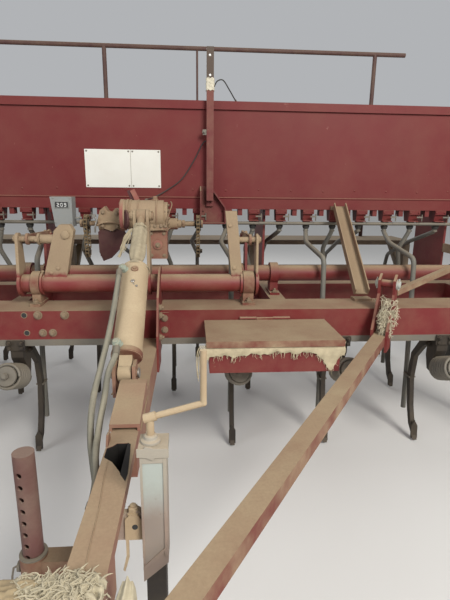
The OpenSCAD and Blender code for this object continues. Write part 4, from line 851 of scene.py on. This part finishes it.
def wool_top(x, y):
    """Height of the mat of frayed fibre on the pole."""
    heap = 20 * max(0.0, 1 - ((x + 22) / 92.0) ** 2) * max(0.0, 1 - ((y + 1248) / 58.0) ** 2)
    return 603 + heap + waves(x, y, (3.5, 0.21, 0.13), (2.5, 0.09, -0.31), (2, 0.43, 0.37))


def hitch_sack():
    rnd = random.Random(8)
    sack, mat, frays, tip = builds(4)
    sack.grid(54, 36, lambda i, j: sack_point(i / 54, j / 36), True)
    o = sack.make("hitch_sack", "sack", smooth=80)
    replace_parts(o, "hitch_rag")

    def mat_point(i, j):
        x, y = -106 + 158 * i / 44, -1298 + 100 * j / 30
        return x, y + 4 * math.sin(i * 0.7), wool_top(x, y) - (8 if i in (0, 44) or j in (0, 30) else 0)

    mat.grid(44, 30, mat_point, True)
    mat.make("hitch_wool", "wool", smooth=80)
    for _ in range(620):
        x, y = -24 + rnd.gauss(0, 38), -1248 + rnd.gauss(0, 24)
        if not (-112 < x < 62 and -1304 < y < -1192):
            continue
        c = Vector((x, y, wool_top(x, y) + rnd.uniform(-2, 5)))
        a, bend, ln = rnd.uniform(0, math.tau), rnd.uniform(-2.6, 2.6), rnd.uniform(10, 26)
        pts = []
        for q in range(6):
            heading = a + bend * q / 5
            pts.append(c)
            c = c + Vector((math.cos(heading), math.sin(heading), rnd.uniform(-0.25, 0.2))) * ln / 5
        frays.tube(pts, 1.0, 4, radii=[0.6, 1.1, 1.4, 1.2, 0.9, 0.4])

    def tip_point(i, j):
        """Folded tip of the sacking, right of the pole."""
        u, v = i / 26, j / 14
        drop = 16 * v + 40 * abs(u - 0.45) ** 1.3 * (1 + v)
        return 88 + (u - 0.5) * (22 + 52 * v), -1226 - 96 * v, 624 - drop + 3 * math.sin(u * 17 + v * 3)

    tip.grid(26, 14, tip_point)
    tip.make("hitch_sack_tip", "wool", smooth=80)
    frays.make("hitch_frays", "wool", smooth=80)


# ---------------------------------------------------------------- seed box, mast and chart
def box_details():
    bead, rivet = builds(2)
    bead.tube([(-BOX_HALF + 6, BOX_Y - 1, 1164), (BOX_HALF - 6, BOX_Y - 1, 1164)], 4, 8)
    for x in range(-1760, 1800, 178):
        rivet.turned((x, BOX_Y + 0.3, 1205 + 3 * math.sin(x)), FRONT, [(-1.5, 5.5), (0.6, 5.2), (2.2, 3.4), (2.8, 0)], 12)
    bead.make("box_bead", "box_paint")
    rivet.make("box_rivets", "box_paint")


def mast_details():
    dot, clip, rag = builds(3)
    for x, z in ((286, 1853), (287, 1762)):
        dot.turned((x, MAST_Y - 30, z), FRONT, [(-1, 6), (1.5, 5.5), (3, 3), (3.4, 0)], 14)
    dot.make("mast_rivets", "white")
    # strip of cloth wound round the channel
    rings = []
    for j in range(13):
        ring = []
        for k in range(44):
            c, s = math.cos(k * math.tau / 44), math.sin(k * math.tau / 44)
            w = 1.0 / max(abs(c) / 18.0, abs(s) / 15.0) + 2.6 + 1.6 * math.sin(j * 1.7 + k * 0.4) + 0.8 * math.sin(k * 1.3 + j)
            ring.append((MAST_X + c * w, MAST_Y - 15 + s * w, 1692 + 58 * j / 12 + 2.5 * math.sin(k * 0.9)))
        rings.append(ring)
    rag.sleeve(rings)
    rag.make("mast_cloth", "pale_cloth", smooth=80)
    clip.box(MAST_X - 38, MAST_X - 18, MAST_Y - 27, MAST_Y - 23, 1480, 1506)
    clip.bolt((MAST_X - 30, MAST_Y - 27, 1494), FRONT, 13, 6, stud=4)
    clip.make("mast_clip", "grey_steel")


def chart_details():
    seam, dots = builds(2)
    y = BOX_Y - 2
    seam.box(-127, -125.6, y - 0.7, y + 0.2, 1214, 1404)
    for x in (-352, -137, -116, 19):
        for z in (1222, 1396):
            dots.turned((x, y, z), FRONT, [(-0.5, 5), (0.8, 4.6), (2.2, 2.6), (2.6, 0)], 12)
    seam.make("chart_seam", "board")
    dots.make("chart_rivets", "grey_steel")


# ---------------------------------------------------------------- area counter
DIGITS = ("abged", "abcdef", "abcdfg")  # lit segments of 2, 0 and 9
SEGMENTS = {"a": (0, 1, 1, 1), "b": (1, 0.5, 1, 1), "c": (1, 0, 1, 0.5), "d": (0, 0, 1, 0), "e": (0, 0, 0, 0.5),
            "f": (0, 0.5, 0, 1), "g": (0, 0.5, 1, 0.5)}  # x, z of the lower left and upper right ends


def counter_details():
    y = 480.0
    window, digit, b = builds(3)
    window.box(-471, -409, y - 1.2, y + 2, 1114, 1141)
    for x0, x1, z0, z1 in ((-474, -406, 1141, 1144), (-474, -406, 1111, 1114), (-474, -471, 1114, 1141),
                           (-409, -406, 1114, 1141)):
        b.box(x0, x1, y - 3.0, y + 1, z0, z1)
    for k, lit in enumerate(DIGITS):
        for xa, za, xb, zb in (SEGMENTS[q] for q in lit):
            x, z, w, h = -461 + k * 17.0, 1120, 8.5, 15
            digit.box(x + xa * w - 1.2, x + xb * w + 1.2, y - 1.9, y - 1.0, z + za * h - 1.2, z + zb * h + 1.2)
    for x, z in ((-481, 1160), (-398, 1160), (-474, 1044), (-398, 1044)):
        b.turned((x, y, z), FRONT, [(-1, 6), (2, 5), (3, 0)], 14)
    b.rod((-383, y + 30, 1062), (-364, y + 30, 1062), 6, 16)
    b.bolt((-364, y + 30, 1062), RIGHT, 16, 7)
    window.make("counter_window", "black")
    digit.make("counter_digits", "white")
    b.make("counter_frame", "counter", bevel=0.0006)


# ---------------------------------------------------------------- drive: chains, sprockets, housing
def sprocket(b, x, z, r, teeth):
    outline = []
    for k in range(teeth):
        for f, rr in ((-0.28, r - 7), (-0.12, r + 2), (0.12, r + 2), (0.28, r - 7)):
            a = (k + f) * math.tau / teeth
            outline.append((0, rr * math.cos(a), rr * math.sin(a)))
    b.prism(outline, (x - 3, SHAFT_Y, z), (x + 3, SHAFT_Y, z))


def chain_marks(top_r, foot_r):
    """Pins of the chain, evenly spaced round its two wheels, at x = 0."""
    lean = math.asin((top_r - foot_r) / (SHAFT_Z - CHAIN_FOOT))
    c, s = math.cos(lean), math.sin(lean)
    pts = []
    for side, first, last in ((1, (foot_r, CHAIN_FOOT), (top_r, SHAFT_Z)), (-1, (top_r, SHAFT_Z), (foot_r, CHAIN_FOOT))):
        for r, z in (first, last):
            pts.append((SHAFT_Y + side * r * c, z - (r * s if z == CHAIN_FOOT else 0)))
        r, z = last
        pts += [(SHAFT_Y + side * r * math.cos(math.radians(a)), z + side * r * math.sin(math.radians(a)))
                for a in range(15, 180, 15)]
    loop = [Vector((0, *p)) for p in pts + pts[:1]]
    n = 2 * int(sum((q - p).length for p, q in zip(loop, loop[1:])) / 2 / 17.0)
    step = sum((q - p).length for p, q in zip(loop, loop[1:])) / n
    marks, run = [], 0.0
    for p, q in zip(loop, loop[1:]):
        ln = (q - p).length
        while len(marks) * step <= run + ln and len(marks) < n:
            marks.append(p.lerp(q, (len(marks) * step - run) / ln))
        run += ln
    return marks


def chains():
    links, wheel, shaft = builds(3)
    marks = chain_marks(38.0, 27.0)
    for x, s in ((-323.0, -1), (222.0, 1)):
        for i, m in enumerate(marks):
            a, b = (p + Vector((x, 0, 0)) for p in (m, marks[(i + 1) % len(marks)]))
            d = (b - a).normalized() * 4
            for e in (-1, 1):
                off = Vector((e * (7.5 if i % 2 else 5.2), 0, 0))
                links.bar(a - d + off, b + d + off, 13, 2.2, up=RIGHT)
            links.rod(a - Vector((9, 0, 0)), a + Vector((9, 0, 0)), 4.6, 10)
        sprocket(wheel, x, SHAFT_Z, 40, 15)
        sprocket(wheel, x, CHAIN_FOOT, 29, 11)
        wheel.disc((x - 16, SHAFT_Y, SHAFT_Z), RIGHT, 21, 32, 24)
        wheel.disc((x - 10, SHAFT_Y, CHAIN_FOOT), RIGHT, 15, 20)
        wheel.bolt((x + s * 10, SHAFT_Y, CHAIN_FOOT), (s, 0, 0), 19, 9)
    for x0, x1 in ((140, 243), (-350, 22)):
        shaft.rod((x0, SHAFT_Y, SHAFT_Z), (x1, SHAFT_Y, SHAFT_Z), 12)
    for x in (-346, -90, 150, 239):
        shaft.disc((x - 7, SHAFT_Y, SHAFT_Z), RIGHT, 19, 14)
        shaft.bolt((x, SHAFT_Y - 18, SHAFT_Z + 2), FRONT, 8, 5, False)
    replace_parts(links.make("chain_links", "chain"), "drive_chains")
    wheel.make("chain_wheels", "dark_steel", bevel=0.0004)
    shaft.make("chain_shafts", "tan_steel")


def housing():
    b, red, dark, bolt, lever = builds(5)
    y, z = DRUM_Y, DRUM_Z
    # ribs and bands of the drum, and the bolts round its ends and round the shaft
    for x in (-96, -60, 24):
        b.lathe((x, y, z), RIGHT, [(0, 64), (0, 69), (7, 69), (7, 64)], 48)
    b.lathe((-112, y, z), RIGHT, [(0, 65), (1, 70.5), (10, 70.5), (12, 65)], 48)
    for k in range(8):
        c, s = math.cos(math.radians(45 * k + 20)), math.sin(math.radians(45 * k + 20))
        bolt.bolt((-138, y + 58 * c, z - 4 + 58 * s), LEFT, 11, 6)
        bolt.bolt((78, y + 46 * c, z + 46 * s), RIGHT, 11, 6)
    bolt.bolt((141, SHAFT_Y, SHAFT_Z), RIGHT, 17, 7)
    for k in range(6):
        c, s = math.cos(math.radians(60 * k)), math.sin(math.radians(60 * k))
        bolt.bolt((120, SHAFT_Y + 22 * c, SHAFT_Z + 22 * s), RIGHT, 8, 4, False)
    # dark disc at the left end, and the pinkish rim behind it
    dark.turned((-112, 322, 1070), (-0.92, -0.38, 0.0), [(-6, 42), (0, 45), (5, 44), (9, 30), (11, 0)], 36)
    red.lathe((-140, y, z - 4), RIGHT, [(0, 65), (0, 72.4), (3, 74), (13, 74), (16, 72.4), (16, 71.8), (1, 65)], 48)
    # seam, bolts and cover of the lower block, with wire straps round it
    b.box(-22, 78, y - 53, y - 50, 1018, 1026)
    for x, dy, height, across in ((-8, 50, 1040, 12), (20, 50, 1040, 12), (48, 50, 1040, 12), (68, 50, 1040, 12),
                                  (20, 50, 1104, 10), (48, 50, 1104, 10), (68, 50, 1104, 10)):
        bolt.bolt((x, y - dy, height), FRONT, across, across / 2, turn=x)
    for x in (0, 60):
        for height in (900, 1004):
            bolt.bolt((x, y - 36, height), FRONT, 11, 5, turn=x)
    red.turned((30, y - 36, 950), FRONT, [(0, 22), (5, 22), (7, 18)], 28)
    bolt.bolt((30, y - 43, 950), FRONT, 15, 6)
    for r, way in ((2.6, [(60, -20, 1040), (69, -56, 1044), (84, -60, 1090), (99, -40, 1135), (92, 10, 1150)]),
                   (2.2, [(-10, -55, 1020), (40, -60, 1023), (80, -50, 1026), (90, -10, 1030)])):
        b.tube(smooth_way([(x, y + dy, height) for x, dy, height in way], 6), r, 8)
    # filler plug and the two levers on top
    b.turned((20, y, 1152), UP, [(0, 16), (8, 16), (8, 11), (20, 11), (22, 8)])
    red.bar((-60, 400, 1144), (-88, 400, 1202), 8, 22, up=RIGHT)
    dark.bar((-85, 406, 1144), (-106, 406, 1200), 8, 16, up=RIGHT)
    # casting with its guard plate left of the drum
    b.plate([(-252, 1104), (-228, 1124), (-214, 1100), (-196, 1094), (-178, 1114), (-160, 1112), (-150, 1079), (-156, 1034),
             (-196, 1004), (-246, 1021), (-264, 1059)], 440, 500)
    b.turned((-262, SHAFT_Y, SHAFT_Z), RIGHT, [(0, 34), (22, 34), (24, 28), (90, 28), (92, 34), (110, 34)], 32)
    b.tube(smooth_way([(-268, 434, 1032), (-240, 426, 1046), (-200, 425, 1050), (-158, 432, 1040)], 6), 5, 10)
    b.plate([(-150, 1110), (-142, 1150), (-120, 1150), (-128, 1104)], 440, 452)
    for x, height in ((-236, 1096), (-172, 1090), (-240, 1032), (-170, 1030)):
        bolt.bolt((x, 440, height), FRONT, 14, 7, turn=x)
    dark.plate([(-267, 1000), (-237, 1022), (-200, 1000), (-152, 1030), (-130, 990), (-150, 930), (-206, 872), (-248, 856),
                (-266, 902)], 452, 456)
    red.box(-262, -242, 456, 500, 880, 1010)
    b.make("housing_castings", "tan_steel", bevel=0.002)
    red.make("housing_red", "housing_red", bevel=0.0015)
    dark.make("housing_dark", "maroon", bevel=0.001)
    bolt.make("housing_bolts", "bolt", bevel=0.0005)
    lever.tube(smooth_way([(-278, 430, 1080), (-266, 428, 1056), (-274, 428, 1030), (-277, 430, 1000)], 6), 4.5, 10)
    lever.disc((-278, 424, 1078), REAR, 9, 12, 16)
    lever.make("housing_lever", "bright_steel")


# ---------------------------------------------------------------- shafts: bearing bolts, pins, collars
def bearing_bolts():
    b, rock, lift = builds(3)
    for x in (-465, 435):
        for y in (ROCK_Y - 45, ROCK_Y + 45):
            b.bolt((x, y, 735), UP, 20, 9, stud=8)
        b.bolt((x, ROCK_Y - 30, 846), (0, -0.7, 0.7), 11, 7, False)
    for x in (-1672, -600, 600, 1672):
        for y in (LIFT_Y - 58, LIFT_Y + 58):
            b.bolt((x, y, 715), UP, 20, 9, stud=8)
    b.make("bearing_bolts", "bolt", bevel=0.0005)
    for x in (-441, 405):
        rock.bolt((x, ROCK_Y, 860), UP, 12, 7, False)
    # collars and end caps at the links' pins and on the rockshaft
    rock.bolt((-447, 100, PIN_Z), FRONT, 13, 7)
    for x, r, wide in ((-438, 19, 56), (-448, 24, 8)):
        rock.lathe((x, ROCK_Y, PIN_Z), RIGHT, [(0, 12), (0, r), (wide, r), (wide, 12)], 24)
    for x, s in ((-536, -1), (476, 1)):
        rock.turned((x, ROCK_Y, PIN_Z), (s, 0, 0), [(0, 20), (5, 20), (5, 13), (12, 13), (13, 0)], 24)
        rock.disc((x, ROCK_Y, ROCK_Z), (s, 0, 0), 34, 4, 28)
    # rivets and a boss on the broad arms, and welds where they meet the shaft
    for x, z in ((-370, 880), (-400, 860), (-340, 1010), (372, 880), (352, 1060)):
        rock.turned((x, 104, z), FRONT, [(0, 9), (3, 8), (5, 4)], 14)
    for x0, x1 in ((-432, -338), (362, 410)):
        rock.tube([(x0 + (x1 - x0) * k / 10, 103, 838 + 1.5 * math.sin(k * 2.1)) for k in range(11)], 4, 8)
    rock.turned((-330, 104, 1020), FRONT, [(0, 17), (6, 17), (8, 13)], 24)
    rock.make("rockshaft_parts", "rockshaft", "rockshaft", bevel=0.0006)
    for x in (-506, 457):
        lift.lathe((x - 20, LIFT_Y, LIFT_Z), RIGHT, [(0, 40), (0, 50), (8, 50), (8, 40)], 28)
    for s in (-1, 1):
        lift.disc((s * 1904, LIFT_Y, LIFT_Z), (s, 0, 0), 34, 5, 28)
    lift.make("lift_parts", "red_paint", "lift")


# ---------------------------------------------------------------- tyres and rims
def wheel_point(c, x, r, a):
    return c + Vector((x, r * math.cos(a), r * math.sin(a)))


def tyre_lug(b, c, e, start):
    """Slanted lug from near the middle of the tread out to the shoulder, on side e."""
    verts = [wheel_point(c, e * x, r + high - 2.0, start + along * e + wide)
             for x, r, along in ((10, 389.0, 0.0), (44, 387.5, 0.07), (80, 372, 0.13), (94, 352, 0.16))
             for wide in (-0.035, 0.035) for high in (0, 5.5)]
    faces = [(0, 2, 3, 1), (12, 13, 15, 14)]
    for i in (0, 4, 8):
        j = i + 4
        faces += [(i + 1, i + 3, j + 3, j + 1), (i, j, j + 2, i + 2), (i, i + 1, j + 1, j), (i + 2, j + 2, j + 3, i + 3)]
    b.add(verts, faces)


def wheels():
    lugs = 30
    for name, s in (("left", -1), ("right", 1)):
        tyre, rim, bolts = builds(3)
        c, out = Vector((s * WHEEL_X, AXLE_Y, TYRE_R)), Vector((s, 0, 0))
        for e in (-1, 1):
            for k in range(lugs):
                tyre_lug(tyre, c, e, (k + 0.25 * e) * math.tau / lugs)
            for r, x in ((338, 98.5), (300, 101.6), (262, 95.5)):
                tyre.lathe(c + Vector((e * x, 0, 0)), (e, 0, 0),
                           [(0, r - 4), (2.6, r - 2), (3.4, r), (2.6, r + 2), (0, r + 4)], 72)
            rim.lathe(c + Vector((e * 66, 0, 0)), (e, 0, 0), [(0, 198), (0, 209), (5, 214), (10, 212), (11, 204), (8, 199)], 72)
        tyre.make("tyre_tread_" + name, "tyre", "wheel_" + name, 40)
        rim.turned(c + out * 38, out, [(0, 46), (26, 42), (32, 34), (34, 0)], 32)
        for k in range(6):
            bolts.bolt(wheel_point(c, s * 18, 96, k * math.tau / 6), out, 19, 12, stud=5)
        for k in range(8):
            rim.turned(wheel_point(c, s * 12, 140, (k + 0.5) * math.tau / 8), out, [(0, 13), (2.5, 12)])
        bolts.tube([c + Vector((s * 20, 182, 20)), c + Vector((s * 40, 188, 21)), c + Vector((s * 58, 190, 21))], 4, 8)
        rim.make("rim_parts_" + name, "rim_paint", "wheel_" + name)
        bolts.make("rim_bolts_" + name, "bolt", "wheel_" + name)


for dress in (springs, tine_clamps, tubes, outlets, cylinder, boot, hoses, cables, pole_details, stand_details, jack_details,
              beam_details, ear_pins, straw, toolbox_cloth, hitch_sack, box_details, mast_details, chart_details,
              counter_details, chains, housing, bearing_bolts, wheels):
    dress()


# ---------------------------------------------------------------- stage
def area_light(name, at, aim, size, power, colour=(1, 1, 1)):
    d = bpy.data.lights.new(name, "AREA")
    d.shape = "RECTANGLE"
    d.size, d.size_y = size
    d.energy = power
    d.color = colour
    o = link(name, d)
    o.location = at
    o.rotation_euler = (Vector(aim) - Vector(at)).to_track_quat("-Z", "Y").to_euler()


def stage():
    bpy.ops.mesh.primitive_plane_add(size=60, location=(0, 0, 0))
    floor = bpy.context.object
    floor.name = "floor"
    g = Shader("floor_pale")
    g.feed(g.bsdf, {"Base Color": (0.62, 0.61, 0.59), "Roughness": 0.9})
    floor.data.materials.append(g.material)
    world = bpy.data.worlds.new("world")
    bpy.context.scene.world = world
    world.use_nodes = True
    sky = world.node_tree.nodes["Background"]
    sky.inputs["Color"].default_value = (0.80, 0.82, 0.85, 1)
    sky.inputs["Strength"].default_value = 0.55
    area_light("key", (2.6, -4.6, 4.2), (0.1, 0.2, 0.8), (2.2, 2.2), 420, (1.0, 0.97, 0.92))
    area_light("fill", (-4.5, -3.5, 3.0), (0, 0.3, 0.8), (3.0, 3.0), 120, (0.92, 0.96, 1.0))
    area_light("back", (0.0, 5.0, 4.0), (0, 0.5, 1.0), (4.0, 2.0), 120)


stage()
